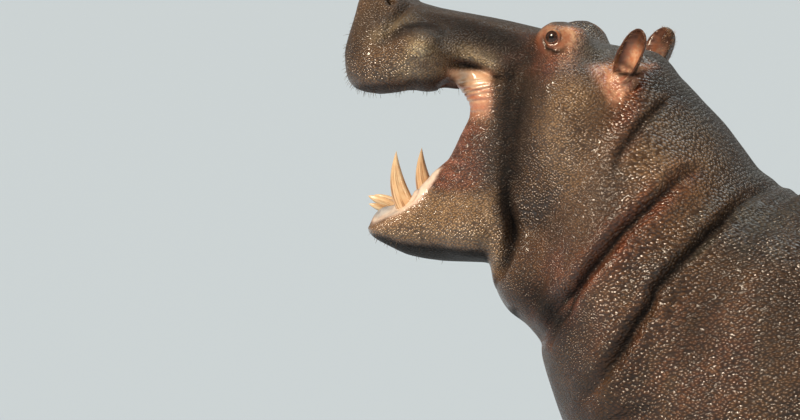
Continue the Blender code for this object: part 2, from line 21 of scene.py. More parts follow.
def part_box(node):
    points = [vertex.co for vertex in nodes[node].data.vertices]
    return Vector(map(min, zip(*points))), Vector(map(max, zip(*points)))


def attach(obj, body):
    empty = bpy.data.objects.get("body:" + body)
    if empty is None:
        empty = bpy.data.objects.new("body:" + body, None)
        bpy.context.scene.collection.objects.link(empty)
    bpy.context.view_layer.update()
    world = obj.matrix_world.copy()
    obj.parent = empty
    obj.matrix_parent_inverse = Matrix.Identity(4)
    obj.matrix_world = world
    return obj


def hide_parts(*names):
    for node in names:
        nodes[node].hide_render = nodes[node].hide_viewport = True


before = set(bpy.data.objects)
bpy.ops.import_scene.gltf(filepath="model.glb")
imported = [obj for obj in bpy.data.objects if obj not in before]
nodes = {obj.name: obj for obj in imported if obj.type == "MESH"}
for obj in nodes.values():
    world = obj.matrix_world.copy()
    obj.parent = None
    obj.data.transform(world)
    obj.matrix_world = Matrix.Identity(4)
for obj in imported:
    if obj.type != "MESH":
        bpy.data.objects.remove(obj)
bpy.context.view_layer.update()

# %% [markdown]
# ## One origin for every measurement
#
# The animal was drawn around its own middle and then slid a few millimetres so that its box is centred.
# Lists of points below are as drawn, so they need that slide. It could be typed in, but reading it from
# the near eye's box keeps every fold in its place if the CAD model is packed again.

# %% The slide between the drawing and the frame
EYE_DRAWN = Vector((-1.0915, -0.164, 1.820))
low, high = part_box("eye_left")
SLIDE = (low + high) / 2 - EYE_DRAWN
EYE_RADIUS = (high - low).z / 2
MIRRORS = {"left": 1, "right": -1}  # what turns a point of the left side into one of that side
print("slide", [round(v, 4) for v in SLIDE], "eye radius", round(EYE_RADIUS, 4))


def place(x, y, z):
    """A drawn point in the frame's coordinates."""
    return Vector((x, y, z)) + SLIDE


# %% [markdown]
# ## Camera, floor and light
#
# A long lens from the animal's left shows the head without distortion, as a visitor sees it from across
# a room. The floor is one flat pale sheet that runs far past the view, so it is also the background.
# A curved backdrop would do the same, but would show its bend from other sides.
#
# Wet skin is read from its highlights. One large soft light would smear them, so the key is a sun on the
# camera's left, with a disc just wide enough that most beads of skin catch a glint. A weak sun on the
# right and a pale sky fill the shadows, and a rim from behind draws the back.

# %% Camera
LENS_MM, SENSOR_MM = 288, 36
CAMERA_AZIMUTH, CAMERA_ELEVATION, CAMERA_DISTANCE = math.radians(12), math.radians(2.2), 16
LOOKED_AT = place(-1.5146, 0, 1.3875)  # in front of the open mouth, so that the head fills the right half
VIEW_END = 3000                        # metres, past the floor's edge


def direction(azimuth, elevation):
    """The way back from what is looked at: azimuth 0 is in front of the animal's left side."""
    return Vector((math.sin(azimuth) * math.cos(elevation),
                   -math.cos(azimuth) * math.cos(elevation), math.sin(elevation)))


camera = bpy.data.objects.new("camera", bpy.data.cameras.new("camera"))
camera.data.lens, camera.data.sensor_width = LENS_MM, SENSOR_MM
camera.data.clip_end = VIEW_END
back = direction(CAMERA_AZIMUTH, CAMERA_ELEVATION)
camera.location = LOOKED_AT + back * CAMERA_DISTANCE
camera.rotation_euler = back.to_track_quat("Z", "Y").to_euler()
bpy.context.scene.collection.objects.link(camera)
bpy.context.scene.camera = camera
print("camera at", [round(v, 3) for v in camera.location])


# %% Colours and shader nodes
def linear(hex_colour):
    """An sRGB colour such as "735b43" as the linear colour that a shader takes."""
    values = [int(hex_colour[i:i + 2], 16) / 255 for i in (0, 2, 4)]
    return [v / 12.92 if v <= 0.04045 else ((v + 0.055) / 1.055) ** 2.4 for v in values] + [1]


def add_node(tree, kind, sockets=None, **settings):
    """Adds a shader node with its settings. sockets maps a socket's name or number to its value, or to
    the output that feeds it."""
    node = tree.nodes.new("ShaderNode" + kind)
    for name, value in settings.items():
        setattr(node, name, value)
    for name, value in (sockets or {}).items():
        if isinstance(value, bpy.types.NodeSocket):
            tree.links.new(value, node.inputs[name])
        else:
            node.inputs[name].default_value = value
    return node


def new_material(name):
    """An empty node material, and the tree to build it in."""
    material = bpy.data.materials.new(name)
    material.use_nodes = True
    material.node_tree.nodes.clear()
    return material, material.node_tree


def patches(tree, where, size, start=0.35, end=0.68, detail=3):
    """Soft random patches about size metres across, as a share from 0 to 1."""
    noise = add_node(tree, "TexNoise", {"Vector": where, "Scale": 1 / size, "Detail": detail})
    return add_node(tree, "MapRange", {"Value": noise.outputs["Fac"], "From Min": start, "From Max": end},
                    interpolation_type="SMOOTHSTEP").outputs["Result"]


def paint(tree, below, share, colours, mottle):
    """Covers a colour by a mottle of two colours, as far as share says."""
    above = add_node(tree, "Mix", {0: mottle, 6: linear(colours[0]), 7: linear(colours[1])}, data_type="RGBA")
    return add_node(tree, "Mix", {0: share, 6: below, 7: above.outputs[2]}, data_type="RGBA").outputs[2]


# %% Floor
# Matt wall paint: no gloss, so that the floor mirrors nothing and only takes the soft shadow.
FLOOR_WIDTH = 2000  # metres
matt_floor, tree = new_material("pale_matt_floor_paint")
shader = add_node(tree, "BsdfPrincipled", {"Base Color": linear("bbd0e6"), "Roughness": 0.9})
add_node(tree, "OutputMaterial", {"Surface": shader.outputs[0]})
sheet = bmesh.new()
bmesh.ops.create_grid(sheet, x_segments=1, y_segments=1, size=FLOOR_WIDTH / 2)
floor = bpy.data.objects.new("floor", bpy.data.meshes.new("floor"))
sheet.to_mesh(floor.data)
sheet.free()
floor.data.materials.append(matt_floor)
bpy.context.scene.collection.objects.link(floor)

# %% Light
SKY_COLOUR, SKY_STRENGTH = "d2d2cd", 0.31
bpy.context.scene.view_settings.view_transform = "Standard"
SUNS = {  # name: azimuth and elevation in degrees, strength, colour, width of its disc in degrees
    "key": (-42, 40, 4.0, "ffe8cc", 18),
    "side": (50, 28, 0.6, "ffe8cc", 14),
    "rim": (165, 50, 0.6, "e4e9e6", 30),
}
for name, (azimuth, elevation, strength, colour, width) in SUNS.items():
    sun = bpy.data.lights.new(name, "SUN")
    sun.energy, sun.color, sun.angle = strength, linear(colour)[:3], math.radians(width)
    holder = bpy.data.objects.new(name, sun)
    way = direction(math.radians(azimuth), math.radians(elevation))
    holder.rotation_euler = way.to_track_quat("Z", "Y").to_euler()
    bpy.context.scene.collection.objects.link(holder)
world = bpy.data.worlds.new("pale_sky")
world.use_nodes = True
world.node_tree.nodes["Background"].inputs["Color"].default_value = linear(SKY_COLOUR)
world.node_tree.nodes["Background"].inputs["Strength"].default_value = SKY_STRENGTH
bpy.context.scene.world = world
print(len(SUNS), "suns and a sky")

# %% [markdown]
# ## One closed skin
#
# The CAD flesh is cut into a head, a jaw, a neck, a trunk, legs and a tail. A real hide has no such cuts.
# Boolean unions would keep every sharp edge of the cuts, so each solid is grown by a few millimetres until it
# overlaps the next, all of them are remeshed together as one volume, and the skin is drawn back in.
# The eyeballs go into the volume too, so that the lids have flesh to be shaped from.

# %% Helpers that read and write a mesh as arrays
GROW = 0.0025   # metres, well over half of the CAD model's thin cuts
LID_FLESH = 0.004        # what an eyeball is grown by, which the lids are then shaped from
SAME_PLACE = 0.00005     # corners closer than this are one
VOXEL = 0.009   # metres, the width of a face before any part is made finer
FLESH = ("head", "lower_jaw", "neck", "trunk", "tail",
         "foreleg_left", "foreleg_right", "hindleg_left", "hindleg_right")


def new_object(name, mesh):
    piece = bpy.data.objects.new(name, mesh)
    bpy.context.scene.collection.objects.link(piece)
    return piece


def merged_copy(node, grow=0.0):
    """A CAD node's mesh with its doubles merged, grown along its normals, as a new mesh."""
    copy = bmesh.new()
    copy.from_mesh(nodes[node].data)
    bmesh.ops.remove_doubles(copy, verts=copy.verts, dist=SAME_PLACE)
    copy.normal_update()
    for vertex in copy.verts:
        vertex.co += vertex.normal * grow
    mesh = bpy.data.meshes.new(node + "_copy")
    copy.to_mesh(mesh)
    copy.free()
    return mesh


def together(name, meshes):
    """Several meshes as one."""
    whole = bmesh.new()
    for mesh in meshes:
        whole.from_mesh(mesh)
    mesh = bpy.data.meshes.new(name)
    whole.to_mesh(mesh)
    whole.free()
    return mesh


def bake_modifiers(piece):
    """Applies a piece's modifiers to its mesh."""
    graph = bpy.context.evaluated_depsgraph_get()
    mesh = bpy.data.meshes.new_from_object(piece.evaluated_get(graph))
    piece.modifiers.clear()
    piece.data = mesh


def drawn_points(mesh):
    """The vertices as drawn, before the slide."""
    values = np.empty(len(mesh.vertices) * 3, np.float32)
    mesh.vertices.foreach_get("co", values)
    return values.reshape(-1, 3).astype(float) - np.array(SLIDE)


def outward(mesh):
    values = np.empty(len(mesh.vertices) * 3, np.float32)
    mesh.vertex_normals.foreach_get("vector", values)
    return values.reshape(-1, 3).astype(float)


def move_to(mesh, points):
    mesh.vertices.foreach_set("co", (points + np.array(SLIDE)).astype(np.float32).ravel())
    mesh.update()


def relax(mesh, weight=1.0, rounds=4, swell=0.53):
    """Smooths the mesh where weight is above 0. Each round draws a vertex to its neighbours' middle and
    then pushes it back by swell, so that the form does not shrink; swell=0 lets it shrink."""
    ends = np.empty(len(mesh.edges) * 2, np.int32)
    mesh.edges.foreach_get("vertices", ends)
    ends, points = ends.reshape(-1, 2), drawn_points(mesh)
    weight = np.broadcast_to(np.asarray(weight, float), len(points))[:, None]
    count = np.bincount(ends.ravel(), minlength=len(points)).astype(float)[:, None]
    for _ in range(rounds):
        for share in (0.5, -swell):
            middle = np.stack([np.bincount(ends[:, 0], points[ends[:, 1], axis], len(points))
                               + np.bincount(ends[:, 1], points[ends[:, 0], axis], len(points))
                               for axis in range(3)], 1) / count
            points = points + (middle - points) * share * weight
    move_to(mesh, points)


def refine(mesh, wanted):
    """Halves the faces whose corners are all wanted. wanted takes points and gives True or False."""
    chosen = wanted(drawn_points(mesh))
    fine = bmesh.new()
    fine.from_mesh(mesh)
    edges = [e for e in fine.edges if chosen[e.verts[0].index] and chosen[e.verts[1].index]]
    bmesh.ops.subdivide_edges(fine, edges=edges, cuts=1, use_grid_fill=True)
    fine.to_mesh(mesh)
    fine.free()
    relax(mesh, wanted(drawn_points(mesh)).astype(float), rounds=2)


def triangles(mesh):
    return sum(len(p.vertices) - 2 for p in mesh.polygons)


# %% Remesh the flesh as one volume
volume = [merged_copy(node, GROW) for node in FLESH]
volume += [merged_copy(f"eye_{side}", LID_FLESH) for side in MIRRORS]
skin = new_object("skin", together("skin", volume))
remesh = skin.modifiers.new("one volume", "REMESH")
remesh.mode, remesh.voxel_size, remesh.use_smooth_shade = "VOXEL", VOXEL, True
bake_modifiers(skin)
move_to(skin.data, drawn_points(skin.data) - outward(skin.data) * GROW)
relax(skin.data, rounds=8)
print("skin", len(skin.data.vertices), "vertices", triangles(skin.data), "triangles")

# %% Round off the facets of the CAD solids
BODY_ROUNDS, HEAD_ROUNDS, TAIL_ROUNDS = 45, 14, 10
HEAD_ENDS, TAIL_STARTS = -0.80, 1.50  # x
points = drawn_points(skin.data)
on_head, on_tail = points[:, 0] < HEAD_ENDS, points[:, 0] > TAIL_STARTS
relax(skin.data, (~on_tail).astype(float), HEAD_ROUNDS, swell=0)
relax(skin.data, (~on_head & ~on_tail).astype(float), BODY_ROUNDS - HEAD_ROUNDS, swell=0)
relax(skin.data, on_tail.astype(float), TAIL_ROUNDS)
print("rounded off", int((~on_tail).sum()), "vertices")

# %% [markdown]
# ## Brushes that follow a line
#
# A fold of hide is a groove with a soft roll on one or both sides. A sculptor draws it with a crease
# brush. Here the same brush is a formula of the distance to a line, drawn in side view as (x, z,
# strength), so it bites both flanks alike and runs on round the throat. It needs faces smaller than the
# fold, so the face is made finer first, and the lids, lips and nostrils finer still.


# %% Ramps, lines and the hollow of the mouth
def ramp(value, start, end):
    """0 at start, 1 at end, with a soft turn at both."""
    share = np.clip((value - start) / (end - start), 0, 1)
    return share * share * (3 - 2 * share)


def bump(distance, width):
    return np.exp(-(distance / width) ** 2)


def left_side(points):
    """The points with those of the right side mirrored to the left."""
    return points * (1, 0, 1) - np.abs(points) * (0, 1, 0)


LINE_REACH, FAR_AWAY = 0.15, 9.0  # metres: a brush never reaches further, and what a far point is given


def near_line(flat, line):
    """Distance of flat points to a line of (u, v, strength), the side they lie on, the strength there."""
    line = np.asarray(line, float)
    distance = np.full(len(flat), FAR_AWAY)
    side, strength = np.zeros(len(flat)), np.zeros(len(flat))
    low, high = line[:, :2].min(0) - LINE_REACH, line[:, :2].max(0) + LINE_REACH
    close = np.flatnonzero(((flat > low) & (flat < high)).all(1))
    for start, end in zip(line[:-1], line[1:]):
        step = end[:2] - start[:2]
        share = np.clip((flat[close] - start[:2]) @ step / (step @ step), 0, 1)
        away = flat[close] - start[:2] - share[:, None] * step
        length = np.hypot(away[:, 0], away[:, 1])
        better = length < distance[close]
        chosen = close[better]
        distance[chosen] = length[better]
        side[chosen] = np.sign(step[0] * away[better, 1] - step[1] * away[better, 0])
        strength[chosen] = start[2] + (end[2] - start[2]) * share[better]
    return distance, side, strength


HOLLOW = np.array((  # the open mouth from lips to throat: x, top, bottom, half width, squareness
    (-1.600, 1.700, 1.640, 0.115, 2.6), (-1.575, 1.724, 1.600, 0.155, 2.8),
    (-1.520, 1.740, 1.385, 0.172, 3.0), (-1.450, 1.745, 1.375, 0.174, 3.0),
    (-1.370, 1.738, 1.380, 0.154, 3.0), (-1.290, 1.712, 1.400, 0.140, 2.8),
    (-1.200, 1.660, 1.430, 0.122, 2.6), (-1.110, 1.600, 1.460, 0.085, 2.2),
    (-1.060, 1.560, 1.490, 0.040, 2.0)))


def lining(points):
    """1 on the wet lining inside the mouth, 0 on the hide."""
    top, bottom, half, power = (np.interp(points[:, 0], HOLLOW[:, 0], HOLLOW[:, k]) for k in range(1, 5))
    across = np.abs(points[:, 1]) / half
    up = np.abs(points[:, 2] - (top + bottom) / 2) / ((top - bottom) / 2)
    measure = (across ** power + up ** power) ** (1 / power)
    ahead = ramp(points[:, 0], -1.635, -1.600) * ramp(points[:, 0], -1.03, -1.05)
    return ramp(measure, 1.16, 1.05) * ahead


# %% Finer faces where the detail is
NOSTRIL = ((-1.590, -0.052, 1), (-1.560, -0.070, 1), (-1.530, -0.096, 1), (-1.512, -0.122, 0.6))  # x, y


def from_eye(points):
    return np.linalg.norm(left_side(points) - np.array(EYE_DRAWN), axis=1)


def face(points):
    flat = points[:, (0, 2)]
    neck_fold = near_line(flat, NECK_FOLDS["long"][0])[0] < 0.05
    shoulder_fold = near_line(flat, NECK_FOLDS["shoulder"][0])[0] < 0.045
    front = (points[:, 0] < -1.0) & (points[:, 2] > 1.2)
    return front | neck_fold | shoulder_fold | (from_eye(points) < 0.16)


def lips_and_lids(points):
    x, y, z = left_side(points).T
    nostril = (near_line(np.stack((x, y), 1), NOSTRIL)[0] < 0.035) & (z > 1.84)
    membrane = (x > -1.40) & (x < -1.20) & (z > 1.50) & (z < 1.78) & (y < -0.12)
    lower_lip = (x < -1.36) & (z < 1.47) & (z > 1.30)
    jaw_crease = near_line(np.stack((x, z), 1), JAW_CREASE)[0] < 0.03
    ear_root = np.linalg.norm(left_side(points) - (-0.915, -0.178, 1.735), axis=1) < 0.075
    return (from_eye(points) < 0.062) | nostril | membrane | lower_lip | jaw_crease & (y < -0.1) | ear_root


# Folds in side view: (x, z, strength) along the line, width, depth, roll on the left and right of it.
NECK_FOLDS = {
    "long": (((-0.703, 1.513, 0.0), (-0.749, 1.488, 0.5), (-0.826, 1.413, 0.9), (-0.887, 1.353, 1.0),
              (-0.936, 1.293, 1.0), (-0.977, 1.248, 1.0), (-1.013, 1.203, 1.0), (-1.053, 1.163, 1.0),
              (-1.087, 1.123, 1.0), (-1.115, 1.085, 0.4), (-1.16, 1.03, 0.0)), 0.015, 0.018, 0.006, 0.012),
    "long_second": (((-0.887, 1.338, 0.1), (-0.936, 1.280, 0.5), (-0.984, 1.228, 0.8),
                     (-1.005, 1.195, 1.0), (-1.020, 1.155, 1.0), (-1.056, 1.115, 1.0),
                     (-1.085, 1.075, 0.6)), 0.010, 0.010, 0.004, 0.005),
    "shoulder": (((-0.488, 1.459, 0.0), (-0.544, 1.462, 0.5), (-0.600, 1.434, 0.4), (-0.656, 1.377, 0.9),
                  (-0.692, 1.342, 1.0), (-0.725, 1.299, 1.0), (-0.761, 1.257, 1.0), (-0.800, 1.219, 1.0),
                  (-0.817, 1.179, 1.0), (-0.848, 1.134, 1.0), (-0.866, 1.099, 1.0), (-0.894, 1.047, 0.9),
                  (-0.950, 0.977, 0.5), (-1.00, 0.93, 0.0)), 0.014, 0.016, 0.008, 0.010),
    "behind_ear": (((-0.801, 1.678, 0.2), (-0.829, 1.653, 0.8), (-0.857, 1.623, 1.0), (-0.885, 1.576, 1.0),
                    (-0.906, 1.546, 1.0), (-0.916, 1.513, 0.8), (-0.911, 1.488, 0.0)),
                   0.010, 0.010, 0.004, 0.005),
    "withers": (((-0.470, 1.52, 1.0), (-0.498, 1.475, 1.0), (-0.520, 1.44, 0.8), (-0.555, 1.405, 0.0)),
                0.020, 0.020, 0.004, 0.008),
    "chest": (((-0.80, 0.93, 0.0), (-0.88, 0.90, 0.7), (-0.97, 0.86, 0.8), (-1.06, 0.84, 0.3)),
              0.016, 0.012, 0.004, 0.005),
}
JAW_CREASE = ((-1.196, 1.470, 0.2), (-1.200, 1.422, 0.8), (-1.190, 1.387, 1), (-1.186, 1.335, 1),
              (-1.197, 1.282, 1), (-1.211, 1.252, 0.8))
HEAD_FOLDS = {
    "jaw_hinge": (((-1.163, 1.797, 0.2), (-1.165, 1.735, 0.8), (-1.173, 1.660, 1.0), (-1.183, 1.572, 1.0),
                   (-1.194, 1.485, 1.0), (-1.198, 1.440, 0.5)), 0.032, 0.010, 0.002, 0.003),
    "jaw": (JAW_CREASE, 0.013, 0.018, 0.003, 0.010),
    "canine_arc": (((-1.512, 1.815, 0.2), (-1.488, 1.831, 0.9), (-1.459, 1.847, 1.0), (-1.426, 1.852, 1.0),
                    (-1.394, 1.848, 1.0), (-1.370, 1.832, 0.9), (-1.358, 1.808, 0.5), (-1.354, 1.785, 0.0)),
                   0.014, 0.015, 0.002, 0.003),
    "upper_lip_end": (((-1.352, 1.770, 0.0), (-1.327, 1.757, 0.8), (-1.289, 1.746, 1.0), (-1.238, 1.724, 1.0),
                       (-1.212, 1.716, 0.5), (-1.19, 1.71, 0.0)), 0.010, 0.014, 0.012, 0.001),
    "under_ear": (((-0.945, 1.748, 0.2), (-0.925, 1.733, 1.0), (-0.890, 1.731, 1.0), (-0.862, 1.745, 0.2)),
                  0.007, 0.010, 0.002, 0.003),
    "ear_fan_front": (((-0.970, 1.742, 0.2), (-0.950, 1.712, 1.0), (-0.935, 1.680, 0.6),
                       (-0.930, 1.655, 0.0)), 0.005, 0.005, 0.002, 0.003),
    "ear_fan_middle": (((-0.945, 1.722, 0.0), (-0.932, 1.698, 1.0), (-0.924, 1.672, 0.5),
                        (-0.922, 1.65, 0.0)), 0.005, 0.004, 0.002, 0.003),
    "ear_fan_rear": (((-0.870, 1.726, 0.0), (-0.886, 1.700, 1.0), (-0.902, 1.675, 0.7), (-0.912, 1.65, 0.0)),
                     0.006, 0.006, 0.003, 0.002),
    "pad_edge": (((-1.462, 1.912, 0.4), (-1.482, 1.878, 1.0), (-1.500, 1.848, 1.0), (-1.506, 1.815, 0.3)),
                 0.010, 0.010, 0.005, 0.005),
    "second_lid": (((-1.125, 1.832, 0.0), (-1.119, 1.815, 0.8), (-1.108, 1.795, 1.0), (-1.082, 1.786, 1.0),
                    (-1.061, 1.794, 0.7), (-1.050, 1.808, 0.0)), 0.005, 0.005, 0.003, 0.002),
}
BULGES = {  # soft swellings in side view: (x, z), radius, height
    "canine_root": ((-1.408, 1.796), 0.032, 0.032), "upper_jaw": ((-1.505, 1.770), 0.070, 0.006),
    "throat": ((-1.190, 1.200), 0.060, 0.012), "chewing_muscle": ((-1.080, 1.580), 0.130, 0.008),
    "neck_roll": ((-0.820, 1.520), 0.085, 0.016), "throat_roll": ((-1.060, 1.290), 0.080, 0.008)}
EYE_TO_EAR = ((-0.945, 1.805), (-0.957, 1.803), (-0.968, 1.800), (-0.979, 1.802))  # short upright wrinkles
refine(skin.data, face)
refine(skin.data, lips_and_lids)
print("finer skin", len(skin.data.vertices), "vertices", triangles(skin.data), "triangles")


# %% Draw the folds of neck and head
def fold_push(points, folds, where):
    """How far each point moves outwards for a set of folds."""
    flat, push = points[:, (0, 2)], np.zeros(len(points))
    for line, width, depth, roll_left, roll_right in folds.values():
        distance, side, strength = near_line(flat, line)
        roll = np.where(side > 0, roll_left, roll_right) * bump(distance - 2.2 * width, 1.7 * width)
        push += strength * (roll - depth * bump(distance, width))
    return push * where


def push_out(mesh, push):
    move_to(mesh, drawn_points(mesh) + outward(mesh) * push[:, None])


def waves(points, length, seed, count=9):
    """Soft random hills of about that length, from -1 to 1, the same each run."""
    dice = np.random.default_rng(seed)
    total = np.zeros(len(points))
    for _ in range(count):
        way = dice.normal(size=3)
        way *= dice.uniform(0.7, 1.4) / np.linalg.norm(way)
        total += np.sin(points @ way * (2 * math.pi / length) + dice.uniform(0, 2 * math.pi))
    return total / math.sqrt(count)


def fold_pass(mesh):
    points = drawn_points(mesh)
    wander = np.stack([waves(points, 0.16, seed) for seed in (3, 4, 5)], 1) * 0.0028
    outside = 1 - lining(points)
    push = fold_push(points + wander, NECK_FOLDS, outside)
    push += fold_push(points + wander * 0.4, HEAD_FOLDS, outside * ramp(np.abs(points[:, 1]), 0.06, 0.11))
    for middle, radius, height in BULGES.values():
        away = np.hypot(*(points[:, (0, 2)] - middle).T)
        push += height * bump(away, radius) * outside * ramp(np.abs(points[:, 1]), 0.08, 0.14)
    short = np.zeros(len(points))
    for k, (x, z) in enumerate(EYE_TO_EAR):
        line = ((x - 0.004, z + 0.030 - 0.004 * k, 0), (x, z, 1), (x + 0.007, z - 0.028, 0))
        distance, _, strength = near_line(points[:, (0, 2)], line)
        short += strength * (0.002 * bump(distance - 0.006, 0.004) - 0.004 * bump(distance, 0.0035))
    push += short * ramp(np.abs(points[:, 1]), 0.08, 0.12) * outside
    push_out(mesh, push)


fold_pass(skin.data)
relax(skin.data, face(drawn_points(skin.data)).astype(float) * 0.8, rounds=3, swell=0.35)

# %% [markdown]
# ## Eyes and lids
#
# A hippopotamus has round, bulging eyes on a raised orbit. Two thick lids hug the ball, a wet pale rim
# lines their edge, and a second fold runs under the lower one. The lids could be separate shells, but
# then a seam would show. Instead the skin near the eye is measured from the ball's middle, in angles
# from where it looks: inside the opening the skin dips behind the ball, round it the skin lies on the
# ball by a lid's thickness, and further out it returns to the orbit.

# %% Lids
GAZE = Vector((-0.22, -0.95, 0.20)).normalized()
ALONG_LID = Vector((0, 0, 1)).cross(GAZE).normalized()   # towards the inner or outer corner
UP_LID = GAZE.cross(ALONG_LID)
OPEN_FRONT, OPEN_REAR, OPEN_UP, OPEN_DOWN = 52, 38, 39, 40   # half angles of the opening in degrees
LID_THICKNESS, LINING_DEPTH = 0.0018, 0.006   # the lid's edge over the ball, the skin behind its surface
LIDS_END = 118   # degrees from the gaze, past which the skin is no longer lid


def eye_angles(points):
    """Distance from the eye's middle, angle from its gaze, degrees past the lids' edge, and the way
    round it, from -1 straight below to 1 straight above."""
    away = left_side(points) - np.array(EYE_DRAWN)
    distance = np.linalg.norm(away, axis=1)
    along, up, ahead = away @ np.array(ALONG_LID), away @ np.array(UP_LID), away @ np.array(GAZE)
    reach = np.hypot(along, up) + 1e-9
    angle = np.degrees(np.arctan2(reach, ahead))
    wide, high = np.where(along > 0, OPEN_REAR, OPEN_FRONT), np.where(up > 0, OPEN_UP, OPEN_DOWN)
    opening = 1 / np.sqrt((along / reach / wide) ** 2 + (up / reach / high) ** 2)
    return distance, angle, angle - opening, up / reach


def lid_pass(mesh):
    points = drawn_points(mesh)
    distance, angle, past, rise = eye_angles(points)
    upper = ramp(rise, -0.5, 0.1)
    rim = 0.0005 * bump(past - 4, 4) * (1 - upper)
    crease = 0.0022 * bump(past - 12, 4) * (1 - upper)
    roll = 0.0028 * bump(past - 22, 8) * (1 - upper) + 0.0040 * ramp(past, 4, 26) * upper
    on_ball = EYE_RADIUS + LID_THICKNESS + rim - crease + roll
    target = on_ball + ramp(past, 1, -2) * (EYE_RADIUS - LINING_DEPTH - on_ball)
    hold = ramp(past, 42, 10) * ramp(distance, 0.052, 0.040) * (angle < LIDS_END)
    ball = np.array(EYE_DRAWN)
    away = left_side(points) - ball
    moved = ball + away / distance[:, None] * (distance + (target - distance) * hold)[:, None]
    moved[:, 1] *= np.where(points[:, 1] > 0, -1, 1)
    points[hold > 0] = moved[hold > 0]
    move_to(mesh, points)


refine(skin.data, lambda p: from_eye(p) < 0.045)
relax(skin.data, ramp(from_eye(drawn_points(skin.data)), 0.046, 0.036), rounds=12, swell=0)
refine(skin.data, lambda p: from_eye(p) < 0.036)
lid_pass(skin.data)
distance, angle, past, rise = eye_angles(drawn_points(skin.data))
relax(skin.data, ((distance < 0.05) & (angle < LIDS_END)).astype(float) * 0.6, rounds=2, swell=0.3)
print("with lids", len(skin.data.vertices), "vertices", triangles(skin.data), "triangles")

# %% [markdown]
# ## The mouth, the muzzle and the ear's root
#
# The lining of a wide gape is stretched flesh: gums swell round each tooth, low ridges cross the palate,
# and the cheek's edge puckers into fine folds. The nostrils are two slanting slits with raised rims on
# top of the muzzle. Each ear stands on a fleshy bulb. All of these are small pushes along the normal.

# %% Gums, palate, puckers, nostrils and bulbs
GUM_TEETH = {  # where each tooth leaves the gum, and its radius there
    "lower_canine": ((-1.461, -0.151, 1.395), 0.027),
    "lower_incisor_inner": ((-1.515, -0.034, 1.396), 0.013),
    "lower_incisor_outer": ((-1.515, -0.083, 1.388), 0.011),
    "upper_canine": ((-1.476, -0.132, 1.735), 0.022),
    "upper_incisor_inner": ((-1.556, -0.037, 1.745), 0.013),
    "upper_incisor_outer": ((-1.544, -0.091, 1.745), 0.012)}
RIDGE_SPACING, RIDGE_HEIGHT = 0.021, 0.0022   # of the palate's cross ridges
PUCKERS = (1.716, 1.704, 1.690, 1.679, 1.663, 1.652, 1.634)  # heights of the cheek's small folds
EAR_ROOT = Vector((-0.915, -0.178, 1.735))
EAR_AXIS = Vector((0.407, -0.242, 0.914)).normalized()


def along_axis(points, root, axis):
    """How far along an axis each point is, and how far off it."""
    away = left_side(points) - np.array(root)
    along = away @ np.array(axis)
    return along, np.linalg.norm(away - along[:, None] * np.array(axis), axis=1)


def mouth_push(points, normals):
    inside, side = lining(points), left_side(points)
    x, y, z = side.T
    push = np.zeros(len(points))
    for middle, radius in GUM_TEETH.values():
        distance = np.linalg.norm(side - np.array(middle), axis=1)
        push += inside * (0.35 * radius * bump(distance - 1.15 * radius, 0.5 * radius))
    palate = inside * ramp(normals[:, 2], -0.3, -0.7) * ramp(z, 1.66, 1.70) * ramp(y, -0.11, -0.06)
    push += palate * RIDGE_HEIGHT * np.sin(2 * math.pi * (x + 0.25 * y) / RIDGE_SPACING)
    push -= palate * 0.003 * bump(y, 0.006)
    push += inside * 0.0018 * waves(points, 0.05, 11) * (1 - palate)
    cheek = ramp(x, -1.20, -1.25) * ramp(x, -1.40, -1.36) * ramp(y, -0.12, -0.15)
    for k, height in enumerate(PUCKERS):
        bend = height + 0.010 * np.sin(7 * x + k) + 0.25 * (x + 1.29)
        push += cheek * (0.0010 * bump(z - bend - 0.005, 0.004) - 0.0020 * bump(z - bend, 0.0032))
    return push


GUM_CREST = ((-1.395, -0.150, 0.3), (-1.440, -0.146, 0.8), (-1.500, -0.132, 1.0), (-1.555, -0.110, 1.7),
             (-1.582, 0.0, 1.9))  # x, y, strength, seen from above
GUM_RISE, GUM_WIDTH = 0.024, 0.026
MOLAR_RISE = 0.036    # what the upper cheek teeth sit higher than in the CAD model
LIP_DROP = 0.015      # what the upper lip hangs lower in front of the mouth's corner
CORNER_AHEAD = 0.030  # what the smoothing above took from the cheek's thin front edge


def mouth_shift(points):
    """Moves whole parts of the mouth: the lower gum, the upper molars' gum, the lip and the cheek's edge."""
    x, y, z = left_side(points).T
    shift = np.zeros_like(points)
    distance, _, strength = near_line(np.stack((x, y), 1), GUM_CREST)
    level = ramp(z, 1.340, 1.370) * ramp(z, 1.450, 1.420)
    shift[:, 2] += GUM_RISE * strength * bump(distance, GUM_WIDTH) * level
    row = near_line(np.stack((x, z), 1), ((-1.410, 1.722, 1), (-1.175, 1.632, 1)))[0]
    above = ramp(row, 0.060, 0.035) * ramp(y, -0.155, -0.145) * ramp(y, -0.050, -0.080) * lining(points)
    shift[:, 2] += MOLAR_RISE * above * ramp(x, -1.20, -1.26)
    shift[:, 2] -= (LIP_DROP * bump(x + 1.388, 0.045) * ramp(z, 1.790, 1.725) * ramp(z, 1.650, 1.670)
                    * ramp(y, -0.11, -0.14))
    edge = ramp(x, -1.20, -1.30) * ramp(x - 0.06 * ramp(z, 1.60, 1.66), -1.45, -1.41) * ramp(y, -0.09, -0.13)
    shift[:, 0] -= CORNER_AHEAD * edge * ramp(z, 1.40, 1.47) * ramp(z, 1.735, 1.695)
    shift[:, 2] += 0.4 * CORNER_AHEAD * edge * ramp(z, 1.40, 1.44) * ramp(z, 1.53, 1.48)
    return shift


def nostril_push(points, normals):
    x, y, z = left_side(points).T
    distance, _, strength = near_line(np.stack((x, y), 1), NOSTRIL)
    top = ramp(z, 1.84, 1.87) * ramp(normals[:, 2], 0.0, 0.35)
    return top * strength * (0.006 * bump(distance - 0.016, 0.008) - 0.030 * bump(distance, 0.0075))


